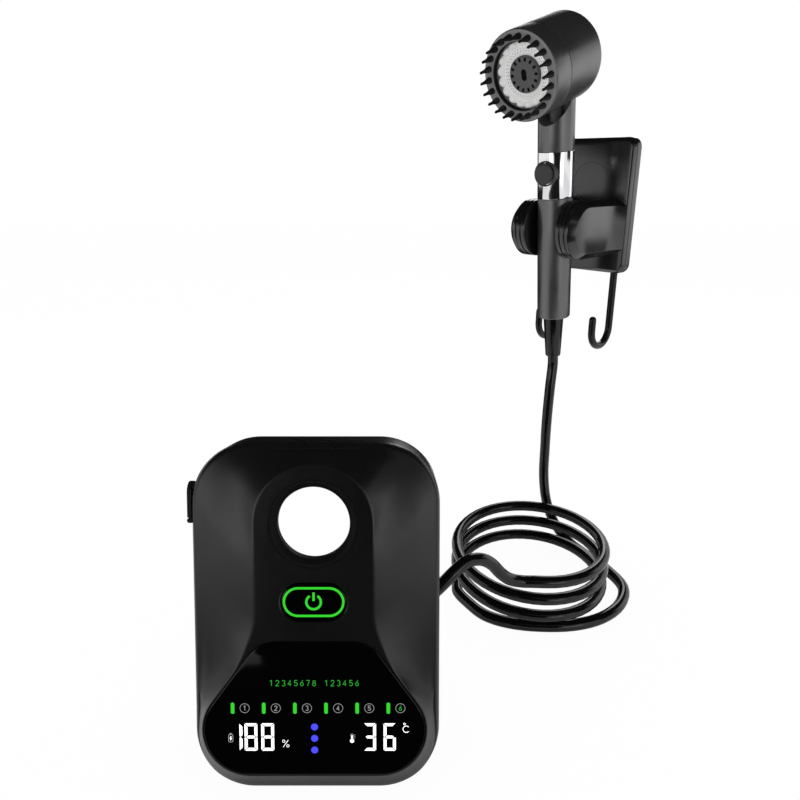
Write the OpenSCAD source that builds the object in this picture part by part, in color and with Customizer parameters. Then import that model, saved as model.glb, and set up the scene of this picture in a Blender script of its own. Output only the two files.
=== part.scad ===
// Camp shower pump set: pump unit, hose, hand shower and wall holder.
// Sizes are millimetres, +Z is up, the origin is the middle of the pump's base.

/* [Pump housing] */
// Width of the housing across its face
body_w = 130; // [122:1:150]
// Height of the housing measured along its face
body_h = 185; // [182:1:205]
// Radius of the four corners of the face
corner_r = 32; // [28:0.5:36]
// Depth of the base on the floor
base_d = 76; // [74:1:90]
// Angle that the face leans back from upright
face_lean = 15; // [12:1:17]
// Wall thickness of both covers
wall = 2.5; // [2:0.1:3]
// Depth of the front cover behind the rim of the face
front_d = 22; // [20:1:24]
// Height of the raised middle of the face above the rim
plateau_rise = 10; // [9:0.5:11]
// Thickness of the raised middle of the face
face_t = 4; // [3.5:0.1:4.5]

/* [Face layout] */
// Width of the raised column round the carry hole
column_w = 62; // [60:1:70]
// Radius of the carry hole
hole_r = 18.5; // [17:0.1:19.5]
// Distance from the top edge of the face to the carry hole's middle
hole_drop = 40; // [38:0.5:44]
// Length of the straight bore of the carry hole
hole_bore = 5; // [4:0.5:14]
// Depth and width of the carry hole's front chamfer
hole_chamfer = 2.5; // [1.5:0.1:3]
// Radius of the carry hole at the back of the housing
flare_r = 33; // [24:0.5:34]
// Wall thickness of the carry hole's sleeve
sleeve_t = 1.6; // [1.2:0.1:2.2]
// Width of the display lens at its widest
lens_w = 114; // [108:1:119]
// Height of the lens's lower edge up the face
lens_low = 13; // [10:0.5:14]
// Distance from the power button's middle to the lens's upper edge
lens_drop = 20.6; // [18:0.2:25]
// Radius of the lens's lower corners
lens_low_r = 24; // [20:0.5:26]
// Radius of the lens's upper corners
lens_high_r = 18.5; // [15:0.5:20]
// Width of the lens across its upper corners
lens_high_w = 75; // [64:1:78]
// Thickness of the display lens
lens_t = 2; // [1.5:0.1:2.2]
// Width of a pair of display digits
digit_w = 22; // [18:0.5:24]
// Height of a pair of display digits
digit_h = 17; // [14:0.5:18]
// Distance between the middles of the two pairs of digits
digit_pitch = 64; // [56:0.5:68]
// Distance between the gear lamps
bar_pitch = 16; // [14:0.5:17]
// Width of a gear lamp
bar_w = 2; // [2:0.1:3]
// Height of a gear lamp
bar_h = 6.5; // [5:0.1:8]
// Width of the power button
button_w = 33.6; // [30:0.1:36]
// Height of the power button
button_h = 19.6; // [17:0.1:20.5]
// Distance from the carry hole's middle to the power button's middle
button_drop = 40.4; // [38.8:0.2:43]
// Travel of the power button
button_travel = 1.2; // [0.8:0.1:1.4]

/* [Pump internals] */
// Sideways place of the motor and impeller axis
pump_x = -24; // [-28:1:-20]
// Height of the motor and impeller axis
pump_z = 33; // [31:1:36]
// Outer radius of the volute
volute_r = 20; // [19:0.5:22]
// Radius of the impeller
impeller_r = 15; // [12:0.5:16]
// Outer radius of the motor can
motor_r = 12.2; // [11:0.1:13]
// Distance from the front edge of the base to the motor
motor_inset = 22; // [20:0.5:24]
// Depth of the volute
volute_d = 12; // [11:0.5:13]
// Radius of the motor shaft
shaft_r = 1.15; // [1:0.05:1.6]
// Rise of the outlet above the pump's axis
outlet_rise = 13; // [12:0.5:14]
// Sideways place of the outlet elbow
elbow_x = 12; // [10:0.5:14]
// Distance from the back of the housing to the elbow's axis
elbow_reach = 16; // [14:0.5:18]
// Radius of a battery cell
cell_r = 9.2; // [9:0.1:9.4]
// Length of a battery cell
cell_len = 65; // [64:0.5:66]
// Height of the battery cells' axes
cell_z = 66.5; // [66:0.5:70]

/* [Charging port] */
// Rise of the port cover's middle above the straight part of the side
port_rise = 2; // [-2:0.5:2]
// Length of the port cover along the side
port_len = 20; // [20:0.5:24]
// Width of the port cover
port_w = 11; // [9:0.5:12]
// Thickness of the port cover
port_t = 2.2; // [2.2:0.1:3]

/* [Hose] */
// Outer radius of the hose
hose_r = 4.25; // [3.8:0.05:4.5]
// Sideways radius of the coil's middle line
coil_rx = 55.5; // [50:0.5:58]
// Front to back radius of the coil's middle line
coil_ry = 62; // [55:0.5:64]
// Rise of the coil for each turn
coil_pitch = 13.8; // [12:0.2:14.4]

/* [Wall holder] */
// Sideways place of the holder's tilt axis
hold_x = 166.5; // [150:0.5:190]
// Front to back place of the holder's tilt axis
hold_y = 239; // [220:1:260]
// Height of the holder's tilt axis
hold_z = 266.5; // [250:0.5:300]
// Turn of the holder's wall about the upright axis
wall_turn = 45; // [30:1:60]
// Distance from the tilt axis to the front of the wall plate
hold_reach = 48; // [44:1:60]
// Width of the wall plate
plate_w = 74; // [70:1:90]
// Height of the wall plate
plate_h = 106; // [90:1:120]
// Thickness of the wall plate
plate_t = 10; // [9:0.5:14]
// Corner radius of the wall plate
plate_r = 8; // [6:0.5:12]
// Rise of the wall plate's middle above the tilt axis
plate_rise = 15.5; // [8:0.5:18]
// Thickness of the adhesive pad
pad_t = 1.5; // [1:0.1:2]
// Radius of the arms' round ends and of the pivot rings
arm_r = 22; // [20:0.5:24]
// Thickness of each arm
arm_t = 8; // [7:0.5:10]
// Width of the bevel round each arm
arm_bevel = 5; // [3:0.5:6]
// Width of each pivot ring
ring_t = 7.8; // [7:0.1:9]
// Radius of the pivot pins
pivot_r = 4; // [3:0.1:5]
// Radius of the hook wire
hook_wire = 2.9; // [2:0.1:3]
// Radius of the hook's bend
hook_bend = 14; // [12:0.5:16]
// Length of the hook's straight shank
hook_shank = 46; // [40:1:52]
// Sideways place of the hooks from the middle
hook_x = 26; // [22:0.5:28]
// Tilt of the hand shower as it hangs
rest_tilt = 6; // [0:0.5:10]

/* [Hand shower] */
// Radius of the handle at its lower end
handle_low_r = 13.2; // [12:0.1:14]
// Radius of the handle at the tilt axis
handle_mid_r = 13.5; // [13.2:0.1:15]
// Length of the handle below the tilt axis
handle_low = 71.5; // [65:0.5:85]
// Length of the handle above the tilt axis
handle_high = 24; // [23:0.5:30]
// Length of the chrome band
band_len = 34; // [30:0.5:40]
// Radius of the chrome band
band_r = 13.7; // [13.6:0.1:15.6]
// Height of the head's axis above the tilt axis
head_z = 120.5; // [112:0.5:125]
// Outer radius of the head
head_r = 30; // [29:0.5:34]
// Distance from the handle's axis to the head's front
head_front = 47.5; // [40:0.5:50]
// Distance from the handle's axis to the head's back
head_back = 15; // [14.5:0.5:22]
// Angle of the head's axis below square to the handle
head_down = 13; // [5:1:20]
// Radius of the scoop in the neck under the head
scoop_r = 13.6; // [12:0.1:14]
// Depth of the scoop below the head
scoop_d = 10; // [8:0.5:11]
// Length of the turning mode ring
mode_len = 18; // [14:0.5:20]
// Radius of the opening in the front of the mode ring
face_r = 22.5; // [21:0.5:24]
// Number of silicone points round the head
comb_count = 22; // [16:1:26]
// Length of the silicone points
comb_len = 11; // [8:0.5:13]
// Radius of the stop button
stop_r = 7.8; // [7:0.1:10.5]
// Travel of the stop button
stop_travel = 1.5; // [1:0.1:2.6]
// Length of the hose nut
nut_len = 34.5; // [28:0.5:38]
// Radius of the hose nut at its lower end
nut_low_r = 6.2; // [5.5:0.1:7]
// Radius of the hose nut at its upper end
nut_high_r = 8.2; // [7.5:0.1:10]

/* [Clearances] */
// Gap between fixed pieces that drop into each other
fit = 0.1; // [0.05:0.01:0.15]
// Radial gap between a shaft and its bore
run = 0.05; // [0.03:0.01:0.08]
// Gap between pieces that move past each other
gap = 0.3; // [0.25:0.05:0.4]

/* [Hidden] */
$fn = 64;
hole_y = body_h - hole_drop;
button_y = hole_y - button_drop;
lens_high = button_y - lens_drop;
port_y = body_h - corner_r + port_rise;
back_y = base_d / 2;
in_y = back_y - wall;
bore_z = plateau_rise - hole_chamfer;
flare_z = bore_z - hole_bore;
back_z = -(base_d - hole_y * sin(face_lean)) / cos(face_lean);
flare_slope = (flare_r - hole_r) / (flare_z - back_z);
sleeve_r = hole_r + hole_chamfer + sleeve_t;
plateau_in = plateau_rise - face_t;
step_z = -wall;
board_t = 1.6;
led_h = plateau_rise - lens_t - 0.2 - step_z;
flange_t = 1.3;
flange_z = plateau_in - gap - flange_t;
screw_x = body_w / 2 - wall - 3.5;
screw_low = 48;
shelf = 8;
screw_r = 1.45;
flange_y = in_y - 2;
volute_back = in_y - 4.5;
volute_mid = volute_back - 7;
volute_front = volute_back - volute_d;
cover_front = volute_front - 2.5;
motor_front = motor_inset - base_d / 2;
motor_len = cover_front - 2 - motor_front;
outlet_z = pump_z + outlet_rise;
link_x = pump_x + volute_r + 6;
link_r = 4.8;
elbow_y = back_y + elbow_reach;
elbow_arm = 14;
collar_len = 12;
collar_x = elbow_x + elbow_arm - 6;
hose_x = collar_x + collar_len;
cell_pitch = 2 * cell_r + 1.1;
cell_back = in_y - cell_r - 0.8;
cell_front = cell_back - cell_pitch;
tray_low = cell_z - cell_r - 2;
tray_front = cell_front - cell_r - 1.8;
tray_end = cell_len / 2 + 1;
side_x = body_w / 2;
port_z = -9;
port_x = -side_x - gap - port_t / 2;
hinge_y = port_y - port_len / 2 - 1.5;
pin_r = 0.6;
socket_y = body_h - corner_r - 5;
screw_drop = 28;
screw_high = socket_y - screw_drop;
pad_y = hold_reach + plate_t;
handle_r_at = handle_mid_r + (handle_mid_r - handle_low_r) * handle_high / handle_low;
ring_in = handle_r_at + gap;
arm_in = ring_in + ring_t + gap;
plate_low = plate_rise - plate_h / 2;
band_low = handle_high;
band_high = handle_high + band_len;
stop_rise = 19;
stop_z = band_low + stop_rise;
stop_low = band_r + stop_travel + gap;
stop_t = 1.8;
stop_edge = 0.8;
spigot_r = face_r - run;
seam_z = head_front - mode_len;
spray_z = head_front - 8;
disc_r = 12.2;
spigot_t = 1;
comb_in = face_r + 1.2;
comb_out = head_r - 2.6;
comb_r = (comb_in + comb_out) / 2;
tube_r = 5;
tube_in = 3.5;
neck_in = tube_r + gap;

// Frames
module on_face() {
  translate([0, -base_d / 2, 0])
    rotate([90 - face_lean, 0, 0])
      children();
}
module on_pump() {
  translate([pump_x, 0, pump_z])
    rotate([-90, 0, 0])
      children();
}
module on_wall() {
  translate([hold_x, hold_y, hold_z])
    rotate([0, 0, -wall_turn])
      children();
}
module on_handset() {
  on_wall()
    rotate([rest_tilt, 0, 0])
      children();
}
module on_head() {
  on_handset()
    translate([0, 0, head_z])
      rotate([90 + head_down, 0, 0])
        children();
}
module along_x(x, y, z) {
  translate([x, y, z])
    rotate([0, 90, 0])
      children();
}
module along_y(x, y, z) {
  translate([x, y, z])
    rotate([-90, 0, 0])
      children();
}
module tube(h, ro, ri) {
  difference() {
    cylinder(h = h, r = ro);
    translate([0, 0, -1])
      cylinder(h = h + 2, r = ri);
  }
}

// Flat outlines on the face
module round_box(w, h, r) {
  square([w - 2 * r, h], center = true);
  square([w, h - 2 * r], center = true);
  for (x = [-1, 1], y = [-1, 1])
    translate([x * (w / 2 - r), y * (h / 2 - r)])
      circle(r = r);
}
module outline(inset) {
  translate([0, body_h / 2])
    round_box(body_w - 2 * inset, body_h - 2 * inset, corner_r - inset);
}
module section(inset, z) {
  intersection() {
    outline(inset);
    translate([-body_w, -z * tan(face_lean) + inset / cos(face_lean)])
      square([2 * body_w, 2 * body_h]);
  }
}
module capsule(w, h) {
  square([w - h, h], center = true);
  for (x = [-1, 1])
    translate([x * (w - h) / 2, 0])
      circle(r = h / 2);
}
module lens_shape(inset) {
  hull() {
    for (x = [-1, 1]) {
      translate([x * (lens_w / 2 - lens_low_r), lens_low + lens_low_r])
        circle(r = lens_low_r - inset);
      translate([x * (lens_high_w / 2 - lens_high_r), lens_high - lens_high_r])
        circle(r = lens_high_r - inset);
    }
  }
}

// Raised face, lofted from the rim's outline to the outline of its flat middle
loft_mid = [0, 80];
loft_count = 72;
core_r = lens_low_r + 1;
core_low = lens_w / 2 - lens_low_r + 0.5;
core_high = lens_high_w / 2 - lens_high_r - 5;
core = [[-core_low, lens_low + lens_low_r + 0.2], [core_low, lens_low + lens_low_r + 0.2],
    [core_high, lens_high - 20], [-core_high, lens_high - 20]];
function seg_dist(p, a, b) =
    let (d = b - a, t = max(0, min(1, ((p - a) * d) / (d * d)))) norm(p - a - t * d);
function cross_at(p, a, b) = (b[0] - a[0]) * (p[1] - a[1]) - (b[1] - a[1]) * (p[0] - a[0]);
function core_dist(p) =
    min([for (i = [0:3]) cross_at(p, core[i], core[(i + 1) % 4])]) >= 0 ? 0
    : min([for (i = [0:3]) seg_dist(p, core[i], core[(i + 1) % 4])]);
function smooth_min(a, b, k) = let (h = max(k - abs(a - b), 0) / k) min(a, b) - h * h * k / 4;
function plateau_field(p) =
    smooth_min(seg_dist(p, [0, lens_high - 20], [0, hole_y]) - column_w / 2, core_dist(p) - core_r, 14);
function rim_field(p) =
    let (qx = abs(p[0]) - (body_w / 2 - corner_r), qy = abs(p[1] - body_h / 2) - (body_h / 2 - corner_r))
    norm([max(qx, 0), max(qy, 0)]) + min(max(qx, qy), 0) - corner_r;
function reach(d, top, inset, lo, hi, n) =
    n == 0 ? (lo + hi) / 2
    : let (m = (lo + hi) / 2, p = loft_mid + m * d)
      (top ? plateau_field(p) : rim_field(p)) + inset < 0 ? reach(d, top, inset, m, hi, n - 1)
      : reach(d, top, inset, lo, m, n - 1);
function loft_dir(i) = [cos(360 * i / loft_count), sin(360 * i / loft_count)];
function loft_ring(inset, t, z) =
    [for (i = [0:loft_count - 1])
      let (d = loft_dir(i), r0 = reach(d, false, inset, 0, 200, 24), r1 = reach(d, true, inset, 0, 200, 24),
        p = loft_mid + (r0 + (r1 - r0) * t) * d) [p[0], p[1], z]];
module loft(rings) {
  m = len(rings);
  n = loft_count;
  low = [loft_mid[0], loft_mid[1], rings[0][0][2]];
  high = [loft_mid[0], loft_mid[1], rings[m - 1][0][2]];
  points = concat([for (r = rings) each r], [low, high]);
  sides = [for (k = [0:m - 2], i = [0:n - 1])
    let (j = (i + 1) % n)
    each [[k * n + i, (k + 1) * n + j, k * n + j], [k * n + i, (k + 1) * n + i, (k + 1) * n + j]]];
  ends = [for (i = [0:n - 1])
    let (j = (i + 1) % n)
    each [[i, j, m * n], [(m - 1) * n + j, (m - 1) * n + i, m * n + 1]]];
  polyhedron(points = points, faces = concat(sides, ends), convexity = 6);
}
module face_outer() {
  translate([0, 0, -front_d])
    linear_extrude(front_d)
      outline(0);
  loft([loft_ring(0.5, 0, -1), loft_ring(0.5, 0.95, plateau_rise - 0.5), loft_ring(0.5, 1.02, plateau_rise)]);
}
module face_inner() {
  difference() {
    on_face() {
      translate([0, 0, -front_d - 1])
        linear_extrude(front_d + 1 + step_z)
          outline(wall);
      translate([0, 0, step_z - 1])
        linear_extrude(plateau_in - step_z + 1)
          column_shape();
    }
    translate([-body_w, -2 * base_d, wall - 60])
      cube([2 * body_w, 4 * base_d, 60]);
  }
}
module column_shape() {
  translate([0, hole_y])
    circle(r = column_w / 2 - 5);
  translate([5 - column_w / 2, lens_high + 4])
    square([column_w - 10, hole_y - lens_high - 4]);
}
module below_floor() {
  translate([-body_w, -2 * base_d, -60])
    cube([2 * body_w, 4 * base_d, 60]);
}

// Pump housing
module front_cover() {
  color([0.1, 0.1, 0.11])
  difference() {
    union() {
      difference() {
        on_face()
          face_outer();
        face_inner();
      }
      on_face() {
        for (x = [-1, 1], y = [screw_low, screw_high])
          translate([x * screw_x, y, -front_d])
            cylinder(h = 12, r = 4.2);
      }
    }
    on_face() {
      for (x = [-1, 1], y = [screw_low, screw_high])
        translate([x * screw_x, y, -front_d - 1])
          cylinder(h = 11, r = screw_r + run);
      translate([0, hole_y, -front_d - 1])
        cylinder(h = front_d + plateau_rise + 2, r = sleeve_r + fit);
      translate([0, 0, plateau_rise - lens_t])
        linear_extrude(lens_t + 1)
          lens_shape(0);
      translate([0, 0, step_z - 1])
        linear_extrude(plateau_rise - step_z + 2)
          lens_shape(4);
      translate([0, button_y, plateau_in - 2])
        linear_extrude(face_t + 3)
          capsule(button_w + 2 * gap, button_h + 2 * gap);
      translate([-side_x - 1, socket_y - 4.8, port_z - 2.5])
        cube([wall + 3, 9.6, 5]);
    }
    below_floor();
  }
}
module rear_form(inset, extra) {
  intersection() {
    on_face()
      translate([0, 0, -3 * base_d])
        linear_extrude(3 * base_d - front_d + extra)
          outline(inset);
    translate([-body_w, -base_d, inset])
      cube([2 * body_w, base_d + back_y - inset, 2 * body_h]);
  }
}
module sleeve_form(grow) {
  intersection() {
    on_face()
      translate([0, hole_y, 0]) {
        translate([0, 0, flare_z])
          cylinder(h = plateau_rise - flare_z, r = sleeve_r + grow);
        translate([0, 0, flare_z - 90])
          cylinder(h = 90, r1 = sleeve_r + grow + 90 * flare_slope, r2 = sleeve_r + grow);
      }
    translate([-body_w, -base_d, 0])
      cube([2 * body_w, base_d + back_y + grow, 2 * body_h]);
  }
}
module rear_cover() {
  color([0.1, 0.1, 0.11])
  difference() {
    union() {
      difference() {
        rear_form(0, 0);
        rear_form(wall, 1);
      }
      intersection() {
        rear_form(0, 0);
        on_face()
          for (x = [-1, 1], y = [screw_low, screw_high])
            translate([x * screw_x, y, -3 * base_d])
              cylinder(h = 3 * base_d, r = 4.2);
      }
    }
    on_face()
      for (x = [-1, 1], y = [screw_low, screw_high])
        translate([x * screw_x, y, 0]) {
          translate([0, 0, -front_d - shelf - 1])
            cylinder(h = shelf + 2, r = screw_r + run);
          translate([0, 0, -front_d - shelf - 120])
            cylinder(h = 120, r = 3.1);
        }
    on_face()
      translate([0, 0, -front_d - 1.2])
        linear_extrude(2)
          difference() {
            section(0.7, -front_d);
            section(1.8, -front_d);
          }
    sleeve_form(fit);
    along_y(pump_x, in_y - 1, pump_z)
      cylinder(h = wall + 2, r = 14);
    along_y(elbow_x, in_y - 1, outlet_z)
      cylinder(h = wall + 2, r = 4.5 + fit);
  }
}
module cover_gasket() {
  color([0.06, 0.06, 0.06])
  on_face()
    translate([0, 0, -front_d - 1.2])
      linear_extrude(1.2)
        difference() {
          section(0.7, -front_d);
          section(1.8, -front_d);
        }
}
module hole_sleeve() {
  color([0.09, 0.09, 0.1])
  difference() {
    sleeve_form(0);
    on_face()
      translate([0, hole_y, 0]) {
        translate([0, 0, bore_z])
          cylinder(h = hole_chamfer + 0.01, r1 = hole_r, r2 = hole_r + hole_chamfer + 0.01);
        translate([0, 0, flare_z - 1])
          cylinder(h = hole_bore + 2, r = hole_r);
        translate([0, 0, flare_z - 100])
          cylinder(h = 100, r1 = hole_r + 100 * flare_slope, r2 = hole_r);
      }
  }
}
module cover_screws() {
  color([0.7, 0.7, 0.72])
  on_face()
    for (x = [-1, 1], y = [screw_low, screw_high])
      translate([x * screw_x, y, -front_d]) {
        translate([0, 0, -shelf])
          cylinder(h = shelf + 8, r = screw_r);
        translate([0, 0, -shelf - 2])
          cylinder(h = 2, r = 2.8);
      }
}

// Display and button
module display_lens() {
  color([0.02, 0.02, 0.02])
  on_face()
    translate([0, 0, plateau_rise - lens_t])
      linear_extrude(lens_t + 0.2)
        lens_shape(fit);
}
module display_board() {
  color([0.05, 0.25, 0.12])
  on_face()
    translate([0, 0, step_z - board_t])
      linear_extrude(board_t)
        union() {
          lens_shape(2);
          translate([-12, lens_high - 20])
            square([24, button_y + 8 - lens_high + 20]);
        }
}
module display_digits() {
  color([0.9, 0.9, 0.92])
  on_face()
    for (x = [-1, 1])
      translate([2 + x * digit_pitch / 2 - digit_w / 2, lens_low + 13, step_z])
        cube([digit_w, digit_h, led_h]);
}
module gear_leds() {
  color([0.2, 0.9, 0.2])
  on_face()
    for (i = [0:5])
      translate([bar_pitch * (i - 2.5) - 2 - bar_w / 2, lens_low + 33.8, step_z])
        cube([bar_w, bar_h, led_h]);
}
module status_leds() {
  color([0.25, 0.3, 0.95])
  on_face()
    for (i = [0:2])
      translate([0, lens_low + 14.7 + 6 * i, step_z])
        cylinder(h = led_h, r = 2);
}
module button_groove(grow) {
  difference() {
    capsule(button_w - 2 + grow, button_h - 3.6 + grow);
    capsule(button_w - 4.4 - grow, button_h - 6 - grow);
  }
  difference() {
    circle(r = 4.4 + grow / 2);
    circle(r = 3 - grow / 2);
    translate([0, 3])
      square([3 - grow, 6], center = true);
  }
  translate([0, 3])
    square([1.3 + grow, 4.6 + grow], center = true);
}
module power_button() {
  color([0.03, 0.03, 0.03])
  on_face()
    translate([0, button_y, 0])
      difference() {
        union() {
          translate([0, 0, flange_z])
            linear_extrude(plateau_rise - 0.6 - flange_z)
              capsule(button_w, button_h);
          translate([0, 0, flange_z])
            linear_extrude(flange_t)
              capsule(button_w + 3, button_h + 3);
        }
        translate([0, 0, plateau_rise - 1.6])
          linear_extrude(2)
            button_groove(2 * run);
      }
}
module button_light() {
  color([0.2, 0.9, 0.2])
  on_face()
    translate([0, button_y, plateau_rise - 1.6])
      linear_extrude(1.1)
        button_groove(0);
}
module button_switch() {
  color([0.15, 0.15, 0.16])
  on_face()
    translate([0, button_y, step_z]) {
      translate([-4, -4, 0])
        cube([8, 8, 3]);
      cylinder(h = flange_z - step_z - button_travel - gap, r = 2.5);
    }
}

// Electronics and battery
module main_board() {
  color([0.05, 0.25, 0.12])
  translate([0, cell_front - 5, cell_z + cell_r + gap]) {
    translate([-cell_len / 2, 0, 0])
      cube([cell_len, cell_pitch + 10, board_t]);
    translate([-cell_len / 3, cell_pitch / 2, board_t - 0.01])
      cube([12, 12, 2]);
    translate([cell_len / 6, cell_pitch / 3, board_t - 0.01])
      cube([14, 8, 4]);
    translate([0, cell_pitch, board_t - 0.01])
      cylinder(h = 4, r = 4);
  }
}
module battery_cells() {
  color([0.15, 0.4, 0.65])
  for (y = [cell_front, cell_back])
    along_x(-cell_len / 2, y, cell_z)
      cylinder(h = cell_len, r = cell_r);
}
module battery_tray() {
  color([0.2, 0.2, 0.21])
  difference() {
    translate([-tray_end - 2.5, tray_front, tray_low])
      cube([2 * tray_end + 5, in_y - tray_front, cell_r + 4]);
    for (y = [cell_front, cell_back])
      along_x(-tray_end, y, cell_z)
        cylinder(h = 2 * tray_end, r = cell_r + fit);
  }
}

// Motor and pump
module motor_can() {
  color([0.6, 0.6, 0.62])
  on_pump()
    difference() {
      union() {
        translate([0, 0, motor_front])
          cylinder(h = motor_len, r = motor_r);
        translate([0, 0, motor_front + motor_len - 1])
          cylinder(h = 3, r = 3.6);
      }
      translate([0, 0, motor_front - 1])
        cylinder(h = motor_len - 0.5, r = motor_r - 1.2);
      translate([0, 0, motor_front])
        cylinder(h = motor_len + 4, r = shaft_r + run);
    }
}
module motor_endcap() {
  color([0.85, 0.85, 0.8])
  on_pump()
    translate([0, 0, motor_front])
      difference() {
        cylinder(h = 3, r = motor_r - 1.2 - run);
        translate([0, 0, -1])
          cylinder(h = 5, r = shaft_r + run);
      }
}
module motor_armature() {
  color([0.7, 0.4, 0.2])
  on_pump()
    translate([0, 0, motor_front + 5])
      tube(motor_len - 9, motor_r - 3, shaft_r);
}
module motor_shaft() {
  color([0.75, 0.75, 0.77])
  on_pump()
    translate([0, 0, motor_front - 1])
      cylinder(h = volute_back - 5 - motor_front, r = shaft_r);
}
module impeller() {
  color([0.85, 0.85, 0.86])
  on_pump()
    difference() {
      union() {
        translate([0, 0, volute_front + 0.8])
          cylinder(h = 1.6, r = impeller_r);
        translate([0, 0, volute_front + 0.8])
          cylinder(h = 7.2, r = 4);
        for (i = [0:5])
          rotate([0, 0, 60 * i])
            translate([2.5, -0.6, volute_front + 1])
              cube([impeller_r - 3, 1.2, 6]);
      }
      translate([0, 0, volute_front])
        cylinder(h = volute_back - 6 - volute_front + 1, r = shaft_r);
    }
}
module volute_body() {
  color([0.3, 0.3, 0.32])
  difference() {
    union() {
      on_pump() {
        translate([0, 0, volute_front])
          cylinder(h = volute_d, r = volute_r);
        translate([0, 0, volute_back - 1])
          cylinder(h = in_y - volute_back, r = 9);
        translate([0, 0, flange_y])
          cylinder(h = 2, r = 17);
      }
      along_x(pump_x, volute_mid, outlet_z)
        cylinder(h = link_x - pump_x, r = link_r);
    }
    on_pump() {
      translate([0, 0, volute_front - 1])
        cylinder(h = volute_d - 1, r = impeller_r + 1.5);
      translate([0, 0, volute_front])
        cylinder(h = 20, r = 6.5);
    }
    along_x(pump_x, volute_mid, outlet_z)
      cylinder(h = link_x - pump_x + 1, r = 2.8);
  }
}
module volute_cover() {
  color([0.25, 0.25, 0.27])
  on_pump()
    translate([0, 0, cover_front])
      difference() {
        cylinder(h = 2.5, r = volute_r);
        translate([0, 0, 0.8])
          cylinder(h = 3, r = 4.5);
        translate([0, 0, -1])
          cylinder(h = 4, r = shaft_r + 0.6);
      }
}
module shaft_seal() {
  color([0.05, 0.05, 0.05])
  on_pump()
    translate([0, 0, cover_front + 0.8])
      tube(1.7, 4.5 - run, shaft_r + run);
}
module inlet_filter() {
  color([0.75, 0.75, 0.76])
  on_pump()
    translate([0, 0, in_y])
      difference() {
        cylinder(h = 0.9, r = 14 - fit);
        for (x = [-3:3], y = [-3:3])
          if (x * x + y * y < 11)
            translate([x * 3.2, y * 3.2, -1])
              cylinder(h = 3, r = 0.9, $fn = 24);
      }
}
module inlet_grille() {
  color([0.12, 0.12, 0.13])
  on_pump()
    translate([0, 0, in_y + 0.9])
      difference() {
        cylinder(h = wall - 0.9, r = 14 - fit);
        for (i = [-3:3])
          translate([i * 3.2 - 0.8, -8, -1])
            cube([1.6, 16, wall + 2]);
      }
}
module outlet_link() {
  color([0.6, 0.6, 0.58])
  difference() {
    union() {
      along_x(link_x, volute_mid, outlet_z)
        cylinder(h = elbow_x + 7 - link_x, r = link_r);
      along_y(elbow_x, volute_mid, outlet_z)
        cylinder(h = 8, r = 6.4);
    }
    along_x(link_x - 1, volute_mid, outlet_z)
      cylinder(h = elbow_x + 4 - link_x, r = 2.8);
    along_y(elbow_x, volute_mid + 2.5, outlet_z)
      cylinder(h = 8, r = 4.5 + run);
    along_y(elbow_x, volute_mid, outlet_z)
      cylinder(h = 4, r = 2.8);
    translate([link_x + 4, volute_mid, outlet_z])
      cylinder(h = 10, r = 1.4 + run);
  }
}
module temperature_probe() {
  color([0.8, 0.78, 0.7])
  translate([link_x + 4, volute_mid, outlet_z + 1])
    cylinder(h = 7, r = 1.4);
}
module outlet_elbow() {
  color([0.12, 0.12, 0.13])
  difference() {
    union() {
      along_y(elbow_x, volute_mid + 2.5, outlet_z)
        cylinder(h = back_y - volute_mid, r = 4.5);
      along_y(elbow_x, back_y, outlet_z)
        cylinder(h = 3, r = 9);
      along_y(elbow_x, back_y, outlet_z)
        cylinder(h = elbow_reach, r = 7);
      translate([elbow_x, elbow_y, outlet_z])
        sphere(r = 7);
      along_x(elbow_x, elbow_y, outlet_z)
        cylinder(h = elbow_arm, r = 6);
    }
    along_y(elbow_x, volute_mid, outlet_z)
      cylinder(h = elbow_y - volute_mid, r = 3);
    along_x(elbow_x, elbow_y, outlet_z)
      cylinder(h = elbow_arm + 1, r = 3);
  }
}
module hose_collar() {
  color([0.07, 0.07, 0.07])
  difference() {
    along_x(collar_x, elbow_y, outlet_z)
      cylinder(h = collar_len, r = 8);
    along_x(collar_x - 1, elbow_y, outlet_z)
      cylinder(h = 7, r = 6 + run);
    along_x(collar_x, elbow_y, outlet_z)
      cylinder(h = collar_len + 1, r = 2.6);
  }
}

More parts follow.
